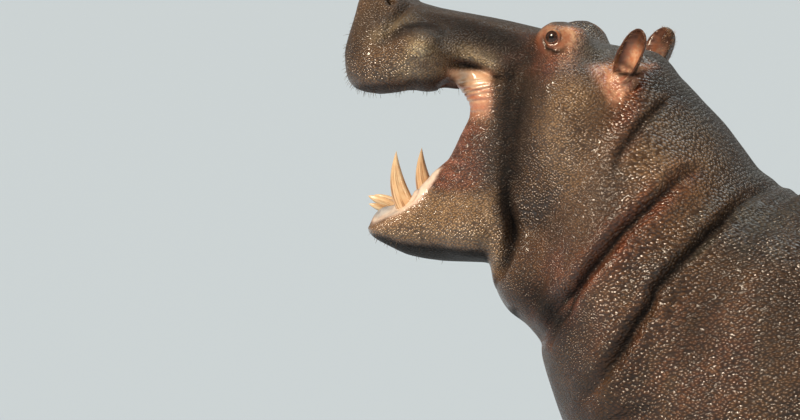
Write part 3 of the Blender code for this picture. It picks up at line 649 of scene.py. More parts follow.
def bulb_push(points):
    along, off = along_axis(points, EAR_ROOT, EAR_AXIS)
    bulb = 0.014 * bump(off, 0.026) * ramp(along, -0.05, -0.02)
    moat = 0.005 * bump(off - 0.040, 0.008) * ramp(along, -0.06, -0.02) * ramp(along, 0.05, 0.02)
    return bulb - moat


points, normals = drawn_points(skin.data), outward(skin.data)
push_out(skin.data, mouth_push(points, normals) + nostril_push(points, normals) + bulb_push(points))
points = drawn_points(skin.data)
move_to(skin.data, points + mouth_shift(points))
relax(skin.data, lips_and_lids(drawn_points(skin.data)).astype(float) * 0.5, rounds=1, swell=0.3)
print("gums round", 2 * len(GUM_TEETH), "teeth,", len(PUCKERS), "puckers on each cheek")

# %% [markdown]
# ## Feet, flanks and the fine wrinkles
#
# Four toes part the front of each foot, rings of soft hide lie above them, and the skin rolls where the
# legs meet the belly. The toes are parted by short upright grooves, measured as angles round each foot.

# %% Folds of the legs and the body
FEET = {"foreleg_left": (-0.61, -0.275), "foreleg_right": (-0.47, 0.275),
        "hindleg_left": (1.17, -0.30), "hindleg_right": (1.03, 0.30)}
TOE_ANGLES = (-58, -20, 20, 58)
BODY_FOLDS = {
    "behind_shoulder": (((-0.25, 1.12, 0.0), (-0.285, 1.00, 0.7), (-0.30, 0.88, 1.0), (-0.30, 0.74, 1.0),
                         (-0.27, 0.62, 0.6), (-0.22, 0.55, 0.0)), 0.035, 0.012, 0.004, 0.006),
    "flank": (((0.86, 1.05, 0.0), (0.83, 0.93, 0.6), (0.83, 0.80, 1.0), (0.87, 0.68, 1.0), (0.95, 0.58, 0.6),
               (1.00, 0.52, 0.0)), 0.035, 0.014, 0.004, 0.006),
    "rump": (((1.50, 1.12, 0.0), (1.46, 0.98, 0.6), (1.43, 0.84, 0.6), (1.42, 0.70, 0.0)),
             0.03, 0.008, 0.003, 0.003),
    "ribs": (((0.10, 1.20, 0.0), (0.06, 1.00, 0.5), (0.08, 0.80, 0.5), (0.14, 0.62, 0.0)),
             0.05, 0.006, 0.003, 0.003),
}
TOE_GAPS = (-39, 0, 39)   # degrees round the foot
ANKLE_RINGS = ((0.135, 0.006), (0.175, 0.004), (0.215, 0.005), (0.275, 0.003), (0.36, 0.004))  # height, depth


def leg_push(points, normals):
    x, y, z = points.T
    push = np.zeros(len(points))
    for name, (foot_x, foot_y) in FEET.items():
        away_x, away_y = x - (foot_x - 0.03), y - foot_y
        reach = np.hypot(away_x, away_y)
        near = ramp(reach, 0.30, 0.24) * ramp(z, 0.62, 0.50)
        angle = np.degrees(np.arctan2(away_y, -away_x))
        for middle in TOE_GAPS:
            gap = np.radians(angle - middle) * reach
            push -= near * 0.012 * bump(gap, 0.010) * ramp(z, 0.125, 0.085) * ramp(reach, 0.07, 0.10)
        for middle in TOE_ANGLES:
            off_toe = np.hypot(np.radians(angle - middle) * reach, (z - 0.045) * 0.8)
            push += near * 0.013 * bump(off_toe, 0.034)
        for height, depth in ANKLE_RINGS:
            bend = 0.012 * np.sin(2 * np.radians(angle) + 9 * height)
            ring = z - height - bend - 0.006 * waves(points, 0.09, 21)
            push += near * (0.6 * depth * bump(ring - 0.018, 0.014) - depth * bump(ring, 0.009))
    return push * ramp(normals[:, 2], -0.9, -0.6)


points, normals = drawn_points(skin.data), outward(skin.data)
wander = np.stack([waves(points, 0.30, seed) for seed in (6, 7, 8)], 1) * 0.012
side_wall = ramp(np.abs(points[:, 1]), 0.12, 0.25)
push = fold_push(points + wander, BODY_FOLDS, side_wall) + leg_push(points, normals)
push += 0.0008 * waves(points, 0.11, 31) * ramp(points[:, 0], -1.0, -0.7) * ramp(points[:, 2], 0.05, 0.12)
push_out(skin.data, push)
points = drawn_points(skin.data)
points[:, 2] = np.maximum(points[:, 2], 0)
move_to(skin.data, points)
print("lowest point of the feet", round(float(points[:, 2].min()), 5))

# %% Thin the plain parts, so that the skin stays under 200,000 triangles
SKIN_TRIANGLES = 178_000
thin = skin.modifiers.new("thin", "DECIMATE")
thin.ratio = SKIN_TRIANGLES / triangles(skin.data)
thin.use_collapse_triangulate = True
bake_modifiers(skin)
print("thinned skin", len(skin.data.vertices), "vertices", triangles(skin.data), "triangles")

# %% [markdown]
# ## Ears
#
# The ears are small cupped leaves on short stems. Their walls are thinner than the remesh can hold, so
# each starts as a flat grid that is curled row by row, gets its wall from Solidify, and has its foot
# sunk into the bulb. A Boolean union makes it one with the skin, and a little smoothing fillets the joint.

# %% Add the ears
EAR_OPENING = Vector((-0.574, -0.819, 0))   # the way the left ear's cup faces
EAR_ROWS = np.array((  # along the ear, half width, curl in degrees
    (-0.045, 0.014, 165), (-0.020, 0.023, 145), (0.000, 0.030, 120), (0.020, 0.035, 104), (0.050, 0.0365, 92),
    (0.080, 0.0345, 82), (0.100, 0.0275, 74), (0.112, 0.0175, 66), (0.118, 0.004, 60)))
EAR_FOOT, EAR_SPAN = -0.045, 0.163   # where the leaf starts along the ear's axis, and its length
EAR_WALL, EAR_DEPTH, EAR_BACK = 0.0055, 0.75, 0.35


def add_ear(side):
    mirror = Vector((1, MIRRORS[side], 1))
    root, axis, outwards = EAR_ROOT * mirror, EAR_AXIS * mirror, EAR_OPENING * mirror
    outwards = (outwards - axis * outwards.dot(axis)).normalized()
    across = axis.cross(outwards)
    leaf = bmesh.new()
    bmesh.ops.create_grid(leaf, x_segments=20, y_segments=26, size=1)
    for vertex in leaf.verts:
        step = (vertex.co.y + 1) / 2
        along = EAR_FOOT + EAR_SPAN * (1 - (1 - step) ** 1.5)
        half_width, curl = (float(np.interp(along, EAR_ROWS[:, 0], EAR_ROWS[:, k])) for k in (1, 2))
        turn = math.radians(curl) * vertex.co.x
        widest = max(math.sin(math.radians(min(curl, 90))), 0.3)
        ridge = 0.0012 * math.cos(vertex.co.x * 11) * math.sin(math.pi * step)
        depth = half_width * EAR_DEPTH * (math.cos(turn) - EAR_BACK) - ridge
        vertex.co = root + axis * along + across * half_width * math.sin(turn) / widest - outwards * depth
    bmesh.ops.smooth_vert(leaf, verts=leaf.verts, factor=0.5,
                          use_axis_x=True, use_axis_y=True, use_axis_z=True)
    bmesh.ops.translate(leaf, verts=leaf.verts, vec=SLIDE)
    copy = new_object(f"ear_{side}_leaf", bpy.data.meshes.new("leaf"))
    leaf.to_mesh(copy.data)
    leaf.free()
    wall = copy.modifiers.new("wall", "SOLIDIFY")
    wall.thickness, wall.offset = EAR_WALL, 0
    rounded = copy.modifiers.new("round", "SUBSURF")
    rounded.levels = rounded.render_levels = 1
    bake_modifiers(copy)
    union = skin.modifiers.new(side, "BOOLEAN")
    union.operation, union.solver, union.object = "UNION", "EXACT", copy
    bake_modifiers(skin)
    bpy.data.objects.remove(copy)


for side in MIRRORS:
    add_ear(side)
along, off = along_axis(drawn_points(skin.data), EAR_ROOT, EAR_AXIS)
joint = ramp(off, 0.050, 0.035) * ramp(along, 0.045, 0.025) * ramp(along, -0.045, -0.03)
relax(skin.data, joint * 0.8, rounds=5, swell=0.2)
print("skin with ears", len(skin.data.vertices), "vertices", triangles(skin.data), "triangles")

# %% [markdown]
# ## Where the hide changes colour
#
# A hippopotamus is not one brown. The back and the top of the snout are slate, the flanks brown, and
# wherever the hide is thin or folded, round the eyes, under the ears and in the creases, it turns rust
# and pink. Some tints are painted light and shade: on whatever faces up the slate is also a painted
# reflection of the sky, painted shade lies in the folds and hollows and under the jaw, and painted light
# and glints lie on the jaw, the cheek, the neck and the muzzle. A painted image would be tied to one
# view. Instead each tint is a share from 0 to 1 stored on the vertices, worked out from lines and points
# in metres, and the material turns it into colour.

# %% Lines that the tints follow
RUST_LINES = (  # reddish hide along the folds and down from the ear: (x, z, strength), width
    (NECK_FOLDS["long"][0], 0.050), (NECK_FOLDS["long_second"][0], 0.030),
    (((-0.900, 1.690, 0.7), (-0.905, 1.640, 1), (-0.900, 1.590, 0.7), (-0.905, 1.540, 0.3),
      (-0.91, 1.50, 0)), 0.030),
    (((-1.08, 1.36, 0.0), (-1.06, 1.27, 0.6), (-1.03, 1.22, 0.8), (-1.10, 1.16, 0.8),
      (-1.13, 1.12, 0.6)), 0.080),
    (((-0.852, 1.750, 0.6), (-0.880, 1.700, 1), (-0.915, 1.645, 1), (-0.93, 1.60, 0.3)), 0.014),
    (((-1.165, 1.790, 1), (-1.140, 1.768, 1), (-1.100, 1.758, 1), (-1.065, 1.775, 0.8)), 0.044))
ORANGE_LINES = (  # thin glossy hide over and behind the eye, and down from the ear
    (((-1.118, 1.845, 0.4), (-1.104, 1.857, 0.8), (-1.082, 1.864, 0.9), (-1.055, 1.856, 1),
      (-1.037, 1.836, 1), (-1.033, 1.808, 0.9), (-1.050, 1.783, 0.7)), 0.026),
    (((-0.930, 1.640, 0.0), (-0.925, 1.690, 0.6), (-0.950, 1.740, 0.7)), 0.022))
DARK_LINES = (  # painted shade along the bottoms of the folds and in the hollows between them, and over the throat, the shoulder and the withers; darker bands over the muzzle's front and the snout's top
    (HEAD_FOLDS["jaw_hinge"][0], 0.050), (JAW_CREASE, 0.024), (HEAD_FOLDS["upper_lip_end"][0], 0.012),
    (NECK_FOLDS["shoulder"][0], 0.014), (NECK_FOLDS["long"][0], 0.012),
    (NECK_FOLDS["long_second"][0], 0.008), (NECK_FOLDS["behind_ear"][0], 0.012),
    (HEAD_FOLDS["canine_arc"][0], 0.017), (HEAD_FOLDS["under_ear"][0], 0.007),
    (HEAD_FOLDS["second_lid"][0], 0.006),
    (((-1.62, 1.74, 0.4), (-1.60, 1.80, 0.5), (-1.56, 1.86, 0.5), (-1.50, 1.90, 0.5),
      (-1.44, 1.89, 0.5)), 0.050),
    (((-1.47, 1.885, 0.6), (-1.38, 1.868, 0.9), (-1.28, 1.835, 1), (-1.19, 1.80, 1),
      (-1.165, 1.77, 0.9)), 0.050),
    (((-1.185, 1.79, 0.8), (-1.200, 1.72, 1), (-1.205, 1.60, 1), (-1.205, 1.50, 1),
      (-1.20, 1.40, 1)), 0.034),
    (((-1.15, 1.76, 0.6), (-1.140, 1.70, 0.8), (-1.145, 1.62, 0.6), (-1.16, 1.54, 0.3)), 0.036),
    (((-1.115, 1.73, 0.5), (-1.105, 1.68, 0.65), (-1.11, 1.62, 0.4)), 0.028),
    (((-0.925, 1.48, 0.5), (-0.93, 1.40, 0.5), (-0.96, 1.33, 0.3), (-1.0, 1.28, 0.2)), 0.040),
    (((-1.19, 1.24, 0.4), (-1.11, 1.180, 1), (-1.06, 1.13, 1)), 0.070),
    (((-0.55, 1.36, 0.2), (-0.62, 1.27, 0.5), (-0.68, 1.18, 0.6), (-0.72, 1.08, 0.6)), 0.060),
    (((-0.53, 1.41, 0.3), (-0.38, 1.40, 0.4)), 0.070),
    (((-0.45, 1.1, 0.4), (-0.2, 0.9, 0.3)), 0.200))
CHEEK_LINES = (  # painted light where the key light grazes the chewing muscle
    (((-1.07, 1.66, 0.8), (-1.07, 1.60, 1), (-1.05, 1.54, 0.8), (-1.02, 1.48, 0.5)), 0.040),)
GLINT_LINES = (  # painted glints where water stands on the muzzle
    (((-1.53, 1.825, 0.6), (-1.49, 1.850, 1), (-1.45, 1.870, 0.8)), 0.018),
    (((-1.35, 1.80, 0.4), (-1.31, 1.785, 1), (-1.25, 1.760, 0.9)), 0.020))
LIP_STREAKS = (  # short pale red creases along the mouth's rear edge
    (((-1.325, 1.590, 0.9), (-1.290, 1.592, 0.7), (-1.255, 1.600, 0.2)), 0.0050),
    (((-1.340, 1.556, 0.8), (-1.310, 1.560, 0.6), (-1.290, 1.556, 0.1)), 0.0045),
    (((-1.362, 1.518, 0.9), (-1.325, 1.514, 0.8), (-1.290, 1.500, 0.2)), 0.0060),
    (((-1.372, 1.490, 0.8), (-1.335, 1.482, 0.8), (-1.305, 1.464, 0.3)), 0.0060),
    (((-1.372, 1.462, 0.6), (-1.345, 1.452, 0.5), (-1.325, 1.440, 0.1)), 0.0050))


def line_tint(points, lines):
    """The share of a tint that lies along lines of the side view and fades over each line's width."""
    share = np.zeros(len(points))
    for line, width in lines:
        distance, _, strength = near_line(points[:, (0, 2)], line)
        share = np.maximum(share, strength * bump(distance, width))
    return share


def spot_tint(points, x, z, radius):
    """The same round one place of the side view."""
    return bump(np.hypot(points[:, 0] - x, points[:, 2] - z), radius)


# %% Parts of the ear, the lids and the mouth
PINK_TRIANGLE = (-0.930, 1.645, 1.765, 0.72)  # under the ear: middle x, lowest z, highest z, spread
LOWER_LIP = (  # x and z of the line between hide and gum
    (-1.600, 1.352), (-1.547, 1.364), (-1.496, 1.378), (-1.461, 1.392), (-1.410, 1.435), (-1.385, 1.474),
    (-1.359, 1.515))
MOUTH_BANDS = (  # height and width of the red bands across the cheek's edge
    (1.690, 0.004), (1.672, 0.007), (1.648, 0.012), (1.628, 0.010), (1.607, 0.007))


def ear_parts(points, normals):
    """The ear's leaf, its cup, the painted shade in the cup, its middle lightened by painted light, and the
    bare triangle below.
    """
    x, _, z = left_side(points).T
    along, off = along_axis(points, EAR_ROOT, EAR_AXIS)
    leaf = ramp(off, 0.055, 0.045) * ramp(along, 0.005, 0.020)
    cup = leaf * ramp(normals @ np.array(EAR_OPENING), 0.1, 0.4)
    shade = cup * np.maximum.reduce([
        0.9 * bump(along - 0.010, 0.011), 0.65 * ramp(along, 0.055, 0.095), 0.6 * bump(off - 0.036, 0.010)])
    lit_middle = cup * bump(along - 0.045, 0.030) * ramp(off, 0.030, 0.012)
    middle, lowest, highest, spread = PINK_TRIANGLE
    triangle = (ramp(np.abs(x - middle) - spread * (z - lowest), 0.012, -0.018)
                * ramp(z, lowest, lowest + 0.03) * ramp(z, highest, highest - 0.02) * (1 - leaf))
    return {"leaf": leaf, "cup": cup, "shade": shade, "lit_middle": lit_middle, "triangle": triangle}


def lid_parts(points):
    """The painted shade along the lids' edges and in their creases, and the lower lid's wet pale rim."""
    distance, angle, past, rise = eye_angles(points)
    upper = ramp(rise, -0.7, -0.2)
    near = (angle < LIDS_END) * ramp(distance, 0.050, 0.040)
    edges = 0.95 * ramp(past, 8, 3) * upper
    edges += (0.75 * ramp(past, 5, 2) + 0.5 * bump(past - 12, 4)) * (1 - upper)
    return {"shade": near * edges, "rim": near * bump(past - 7, 3) * (1 - upper)}


def mouth_parts(points, normals):
    """The lining, the lower gum and its front, the lips, and the cheek's stretched edge."""
    x, y, z = left_side(points).T
    up, outwards = normals[:, 2], normals[:, 1] * np.sign(points[:, 1])
    lip_line = np.interp(x, *np.transpose(LOWER_LIP)) + 0.003 * waves(points, 0.05, 42)
    gum = (ramp(z, lip_line - 0.006, lip_line + 0.006) * ramp(x, -1.345, -1.375) * ramp(x, -1.625, -1.600)
           * (z < 1.50) * ramp(z, 1.30, 1.33))
    front_gum = (gum * ramp(z, lip_line + 0.006, lip_line + 0.020) * ramp(y, -0.19, -0.13)
                 * ramp(x, -1.48, -1.52))
    lip = (ramp(z, lip_line - 0.030, lip_line - 0.018) * ramp(x, -1.36, -1.42)
           * (z < 1.45) * (x > -1.62) * (z > 1.28))
    cheek_edge = (ramp(x, -1.232, -1.268) * ramp(x, -1.360, -1.342) * ramp(y, -0.11, -0.14)
                  * ramp(z, 1.600, 1.665) * ramp(z, 1.750, 1.730))
    height = z + 0.10 * (x + 1.26) + 0.002 * waves(points, 0.03, 43)
    bands = np.max([bump(height - middle, width) for middle, width in MOUTH_BANDS], 0)
    corner = ramp(x, -1.24, -1.29) * ramp(z, 1.42, 1.47) * ramp(z, 1.66, 1.60)
    lip_side = ramp(outwards, -0.9, -0.5) * ramp(x, -1.330, -1.350) * ramp(z, 1.64, 1.66)
    wet = lining(points) * (1 - lip_side)
    # The upper lip shades the gum behind it. Near the cheek its whole lower side is dark, and further
    # ahead only what faces straight down is.
    behind_lip = (wet * ramp(x, -1.335, -1.355) * ramp(x, -1.50, -1.46) * ramp(y, -0.11, -0.14)
                  * ramp(z, 1.64, 1.66) * ramp(z, 1.75, 1.73))
    steeper = 0.5 * ramp(x, -1.42, -1.46)
    lip_floor = (ramp(x, -1.335, -1.350) * ramp(y, -0.10, -0.13) * ramp(z, 1.64, 1.66) * ramp(z, 1.74, 1.71)
                 * ramp(up, -steeper, -0.35 - steeper))
    return {"wet": wet, "gum": gum, "front gum": front_gum, "lip": lip, "cheek edge": cheek_edge,
            "bands": bands * cheek_edge, "corner": corner, "shade": 0.85 * np.maximum(behind_lip, lip_floor)}


# %% Tints stored on the skin
def tints(points, normals):
    """Each tint's share on each vertex."""
    x, y, z = left_side(points).T
    up, outwards = normals[:, 2], normals[:, 1] * np.sign(points[:, 1])
    flank, faces_up = ramp(y, -0.05, -0.10), ramp(up, 0.3, 0.7)
    eye, outer = from_eye(points), ramp(outwards, -0.35, 0.05)  # outer: an orbit's side away from the other
    uneven = 0.5 + 0.5 * np.clip(waves(points, 0.07, 41), -1, 1)
    ear, lids, mouth = ear_parts(points, normals), lid_parts(points), mouth_parts(points, normals)
    under_ear = ear["triangle"] * flank
    pink = np.maximum.reduce([mouth["wet"], mouth["cheek edge"] * flank, mouth["gum"]])
    outside = 1 - pink
    red = np.maximum.reduce([
        line_tint(points, RUST_LINES) * flank * (0.45 + 0.55 * uneven),
        0.9 * ramp(eye, 0.078, 0.040) * ramp(up, 0.7, 0.4) * flank * outer,    # the orbit
        0.8 * mouth["corner"] * flank * (0.5 + 0.5 * uneven),
        0.6 * ramp(z, 0.62, 0.40) * ramp(np.abs(y), 0.35, 0.2) * (x > -0.9),   # the legs' inner sides
        0.5 * ramp(up, -0.4, -0.8),                                            # the belly
        0.25 * ramp(z, 1.30, 1.15) * (x < -0.55) * uneven,                     # the chest
        0.5 * ear["cup"]])
    # Slate grey hide; on whatever faces up and on the orbits' tops it is also a painted reflection of the
    # sky.
    slate = np.maximum.reduce([
        ramp(up, 0.35, 0.8) * ramp(x, -1.20, -1.05), 0.5 * ramp(up, 0.35, 0.8),  # painted reflection of the sky on whatever faces up
        0.6 * ramp(up, 0.75, 1.0) * ramp(eye, 0.085, 0.060),                     # and on the orbits' tops
        0.9 * ramp(eye, 0.120, 0.090) * (1 - outer),                             # and inner sides
        0.8 * ramp(z, 1.24, 1.38) * ramp(x, -0.62, -0.45)])                      # the withers
    # Painted shade in the folds, the ears' cups and the lids, on the throat and chest and under the jaw, and
    # darker hide on the snout's top.
    dark = np.maximum.reduce([
        line_tint(points, DARK_LINES) * flank, ear["shade"], lids["shade"],
        0.55 * ramp(z, 1.22, 1.08) * (x < -0.60) * ramp(up, 0.3, -0.2),        # painted shade on the throat and chest
        ramp(up, -0.50, -0.80) * (x < -1.18) * ramp(z, 1.45, 1.40),            # painted shade under the jaw
        0.5 * faces_up * ramp(x, -1.10, -1.20) * (z > 1.7)])                   # the snout's top
    dark = np.maximum(dark * outside, mouth["shade"])
    # Painted light where the key light falls on the jaw's side, the chewing muscle, the cheek, the neck's
    # roll and the muzzle.
    bright = flank * np.maximum.reduce([
        0.85 * ramp(x, -1.20, -1.24) * ramp(z, 1.46, 1.42) * ramp(z, 1.22, 1.26),  # the jaw's side
        0.6 * line_tint(points, CHEEK_LINES), 0.8 * spot_tint(points, -1.020, 1.69, 0.06),
        0.6 * spot_tint(points, -0.77, 1.53, 0.11),                                # the neck's roll
        0.2 * ramp(x, -1.46, -1.52) * ramp(z, 1.66, 1.72)])                        # the muzzle
    boss = flank * np.maximum.reduce([  # painted highlight on the swelling over the tusk's root, and painted glints where water stands
        spot_tint(points, -1.410, 1.793, 0.034), 0.45 * spot_tint(points, -1.43, 1.74, 0.050),
        0.7 * line_tint(points, GLINT_LINES)])
    # Orange hide over and behind the eyes and down from the ears, and painted light in the middle of the
    # ears' cups.
    orange = np.maximum(line_tint(points, ORANGE_LINES) * flank * ramp(up, 1.02, 0.75) * outer,
                        0.9 * ear["lit_middle"])
    lid = np.maximum(lids["rim"], line_tint(points, LIP_STREAKS) * flank)
    smooth = np.maximum.reduce([
        pink, 0.85 * ramp(eye, 0.066, 0.040) * ramp(up, 1.0, 0.75), 0.6 * ear["leaf"], 0.4 * mouth["lip"],
        0.5 * under_ear, 0.3 * faces_up * ramp(x, -1.10, -1.20)])
    return {
        "coarse": ramp(x, -1.05, -0.85), "bright": bright * outside, "boss": boss * outside,
        "slate": slate * outside, "red": red * outside, "cup": ear["cup"], "orange": orange,
        "grey": spot_tint(points, -1.003, 1.80, 0.040) * flank * outside, "under_ear": under_ear,
        "lip": mouth["lip"] * outside, "pink": pink, "cream": mouth["cheek edge"] * flank,
        "gum": mouth["gum"], "dark": dark, "lid": lid, "blue_gum": mouth["front gum"],
        "band": mouth["bands"], "smooth": smooth}


points, normals = drawn_points(skin.data), outward(skin.data)
for name, share in tints(points, normals).items():
    layer = skin.data.attributes.new(name, "FLOAT", "POINT")
    layer.data.foreach_set("value", np.clip(share, 0, 1).astype(np.float32))
    print("tint", name, "covers", round(float((share > 0.5).mean()), 3))

# %% [markdown]
# ## The hide's material
#
# Wet hippopotamus hide is thick, nearly bare skin, finely cracked into small domes. Close up they are
# about 5 mm wide on the face and 8 mm on the body, drawn out along the folds. A Voronoi pattern gives
# domes with painted shade in the seams between them and a painted highlight on each dome's top, noise
# breaks up the browns, and a clear coat stands for the water.
# The coat follows the same bumps, so that each dome catches the light on its own.

# %% The pattern of domes
FOLD_LEAN = math.radians(48)                # the folds lean back by this much
DOMES = {"face": (0.0056, 1.25), "body": (0.0078, 1.6)}  # metres across, and how drawn out along the folds
WANDER_PER_METRE, WANDER_REACH = 22, 0.012  # how often the rows bend, and how far in metres
# how strong the painted shade in the seams is
SEAM_STRENGTH = 0.80
wet_hide, tree = new_material("wet_hippopotamus_hide")
place_in = add_node(tree, "TexCoord").outputs["Object"]
shares = {layer.name: add_node(tree, "Attribute", attribute_name=layer.name).outputs["Fac"]
          for layer in skin.data.attributes if layer.data_type == "FLOAT"}

# The pattern wanders a little, or its rows would look ruled.
wander = add_node(tree, "TexNoise", {"Vector": place_in, "Scale": WANDER_PER_METRE, "Detail": 1})
wander = add_node(tree, "VectorMath", {0: wander.outputs["Color"], 1: (-0.5, -0.5, -0.5)},
                  operation="ADD").outputs[0]
wander = add_node(tree, "VectorMath", {0: wander, "Scale": WANDER_REACH}, operation="SCALE").outputs[0]
wander = add_node(tree, "VectorMath", {0: place_in, 1: wander}, operation="ADD").outputs[0]
pattern = {}
for name, (size, stretch) in DOMES.items():
    lean = add_node(tree, "Mapping", {"Vector": wander, "Rotation": (0, FOLD_LEAN, 0),
                                      "Scale": (1 / size / stretch, 1 / size, 1 / size)})
    cells = add_node(tree, "TexVoronoi", {"Vector": lean.outputs[0], "Scale": 1, "Randomness": 0.7})
    pattern[name] = add_node(tree, "MapRange", {"Value": cells.outputs["Distance"], "From Min": 0.10,
                                                "From Max": 0.80, "To Min": 1, "To Max": 0},
                             interpolation_type="SMOOTHSTEP").outputs["Result"]
dome = add_node(tree, "Mix", {0: shares["coarse"], 2: pattern["face"], 3: pattern["body"]}).outputs[0]
# Wet linings, the orbits and the ears' cups have no domes.
rough_hide = add_node(tree, "Math", {0: 1.0, 1: shares["smooth"]}, operation="SUBTRACT").outputs[0]
bare_ear = add_node(tree, "Math", {0: 1.0, 1: shares["cup"]}, operation="SUBTRACT", use_clamp=True).outputs[0]
rough_hide = add_node(tree, "Math", {0: rough_hide, 1: bare_ear}, operation="MULTIPLY").outputs[0]
dome_here = add_node(tree, "Math", {0: dome, 1: rough_hide}, operation="MULTIPLY").outputs[0]
seam = add_node(tree, "Math", {0: 1.0, 1: dome}, operation="SUBTRACT").outputs[0]
seam = add_node(tree, "Math", {0: seam, 1: rough_hide}, operation="MULTIPLY").outputs[0]
seam = add_node(tree, "Math", {0: seam, 1: SEAM_STRENGTH}, operation="MULTIPLY").outputs[0]
print("dome patterns", list(pattern))

# %% The colours of the hide
BROWNS, WORN_BROWNS = ("6e4d2a", "4c321b"), ("7f5e39", "735638")
SEAM_SHADE, DOME_TOP_HIGHLIGHT = "5c4836", "3a3128"   # painted shade that a seam is multiplied by, painted highlight that a dome's top gains
HIDE_LAYERS = (  # tint, how much of it shows, its two colours, the width of their patches in metres
    ("coarse", 0.50, ("4d3520", "382412"), 0.120),
    # painted light on the jaw's side, the cheek, the neck's roll and the muzzle
    ("bright", 0.85, ("a5825a", "bf9c73"), 0.020),
    # painted highlight and glints on the muzzle
    ("boss", 0.95, ("ccb58c", "e2cfaa"), 0.008),
    # slate hide, and a painted reflection of the sky where it faces up
    ("slate", 0.80, ("454741", "3a2f28"), 0.090),
    ("red", 0.85, ("723419", "99522f"), 0.025),
    ("cup", 0.80, ("8a5236", "54291b"), 0.012),
    # orange hide, and painted light in the ears' cups
    ("orange", 1.00, ("c98460", "e9b892"), 0.012),
    ("grey", 0.80, ("858274", "6b675a"), 0.015),
    ("under_ear", 0.90, ("dcab8a", "b8745a"), 0.012),
    ("lip", 0.80, ("8c6a4c", "a58363"), 0.015),
    ("pink", 1.00, ("dba98c", "c47d68"), 0.030),
    ("cream", 0.90, ("dfba97", "cc9d7a"), 0.015),
    ("gum", 0.90, ("e4dacb", "d2bfb1"), 0.015),
    # painted shade, and darker hide on the muzzle and the snout's top
    ("dark", 0.97, ("140b05", "22130a"), 0.030),
    ("lid", 0.90, ("a8634c", "cb8f77"), 0.006),
    ("blue_gum", 0.85, ("acb0b6", "878d95"), 0.015),
    ("band", 0.80, ("a9573a", "c0765a"), 0.010))
hide = paint(tree, (0, 0, 0, 1), 1.0, BROWNS, patches(tree, place_in, 0.16))
hide = paint(tree, hide, patches(tree, place_in, 0.050, 0.50, 0.80, 4), WORN_BROWNS,
             patches(tree, place_in, 0.02))
for name, amount, colours, size in HIDE_LAYERS:
    share = add_node(tree, "Math", {0: shares[name], 1: amount}, operation="MULTIPLY", use_clamp=True)
    hide = paint(tree, hide, share.outputs[0], colours, patches(tree, place_in, size, detail=4))
# Painted shade darkens the seams between the domes, and a painted highlight lightens each dome's top.
shade = add_node(tree, "Mix", {0: 1.0, 6: hide, 7: linear(SEAM_SHADE)},
                 data_type="RGBA", blend_type="MULTIPLY")
hide = add_node(tree, "Mix", {0: seam, 6: hide, 7: shade.outputs[2]}, data_type="RGBA").outputs[2]
crown = add_node(tree, "MapRange", {"Value": dome_here, "From Min": 0.65, "From Max": 1.0,
                                    "To Max": 0.30}).outputs[0]
lit_top = add_node(tree, "Mix", {0: 1.0, 6: hide, 7: linear(DOME_TOP_HIGHLIGHT)}, data_type="RGBA", blend_type="ADD")
hide = add_node(tree, "Mix", {0: crown, 6: hide, 7: lit_top.outputs[2]}, data_type="RGBA").outputs[2]
print(len(HIDE_LAYERS), "layers of colour over the browns")

# %% Relief and water of the hide
RELIEF = ((0.030, 4, 0.45, 0.0045), (0.0035, 2, 0.30, 0.0006))  # noise: metres, detail, strength, depth
WRINKLES_PER_METRE, WRINKLE_DEPTH = (9, 60, 70), 0.006   # along the folds and across them
DOME_HEIGHT = 0.0028
relief = None
for size, detail, strength, depth in RELIEF:
    grain = add_node(tree, "TexNoise", {"Vector": place_in, "Scale": 1 / size, "Detail": detail})
    sockets = {"Height": grain.outputs["Fac"], "Strength": strength, "Distance": depth}
    relief = add_node(tree, "Bump", sockets | ({"Normal": relief} if relief else {})).outputs[0]
# Fine wrinkles run along the folds of the neck and the body.
lean = add_node(tree, "Mapping", {"Vector": wander, "Rotation": (0, FOLD_LEAN, 0),
                                  "Scale": WRINKLES_PER_METRE})
wrinkles = add_node(tree, "TexNoise", {"Vector": lean.outputs[0], "Scale": 1, "Detail": 2}).outputs["Fac"]
wrinkles = add_node(tree, "Math", {0: wrinkles, 1: shares["coarse"]}, operation="MULTIPLY").outputs[0]
for height, strength, depth in ((wrinkles, 0.6, WRINKLE_DEPTH), (dome_here, 1.0, DOME_HEIGHT)):
    relief = add_node(tree, "Bump", {"Height": height, "Normal": relief, "Strength": strength,
                                     "Distance": depth}).outputs[0]
# The water lies in patches, thickest on the smooth parts and where light and glints are painted. It is
# thinner on the body, and the hollows with painted shade are nearly dry and rougher, or they would
# mirror the sky.
water = patches(tree, place_in, 0.07, 0.35, 0.65)
water = add_node(tree, "Math", {0: water, 1: 0.25, 2: 0.75}, operation="MULTIPLY_ADD").outputs[0]
for name in ("smooth", "bright", "boss"):
    water = add_node(tree, "Math", {0: water, 1: shares[name]}, operation="MAXIMUM").outputs[0]
for name, loss in (("coarse", 0.45), ("dark", 0.85)):
    kept = add_node(tree, "Math", {0: shares[name], 1: -loss, 2: 1.0}, operation="MULTIPLY_ADD").outputs[0]
    water = add_node(tree, "Math", {0: water, 1: kept}, operation="MULTIPLY").outputs[0]
matt = patches(tree, place_in, 0.012, detail=2)
matt = add_node(tree, "Math", {0: matt, 1: 0.14, 2: 0.30}, operation="MULTIPLY_ADD").outputs[0]
matt = add_node(tree, "Math", {0: shares["dark"], 1: 0.50, 2: matt}, operation="MULTIPLY_ADD").outputs[0]
shader = add_node(tree, "BsdfPrincipled", {
    "Base Color": hide, "Normal": relief, "Coat Normal": relief, "Coat Weight": water, "Roughness": matt,
    "IOR": 1.35, "Coat Roughness": 0.12, "Coat IOR": 1.60})
add_node(tree, "OutputMaterial", {"Surface": shader.outputs[0]})
skin.data.materials.clear()
skin.data.materials.append(wet_hide)
skin.data.shade_smooth()
print(wet_hide.name, len(tree.nodes), "nodes")

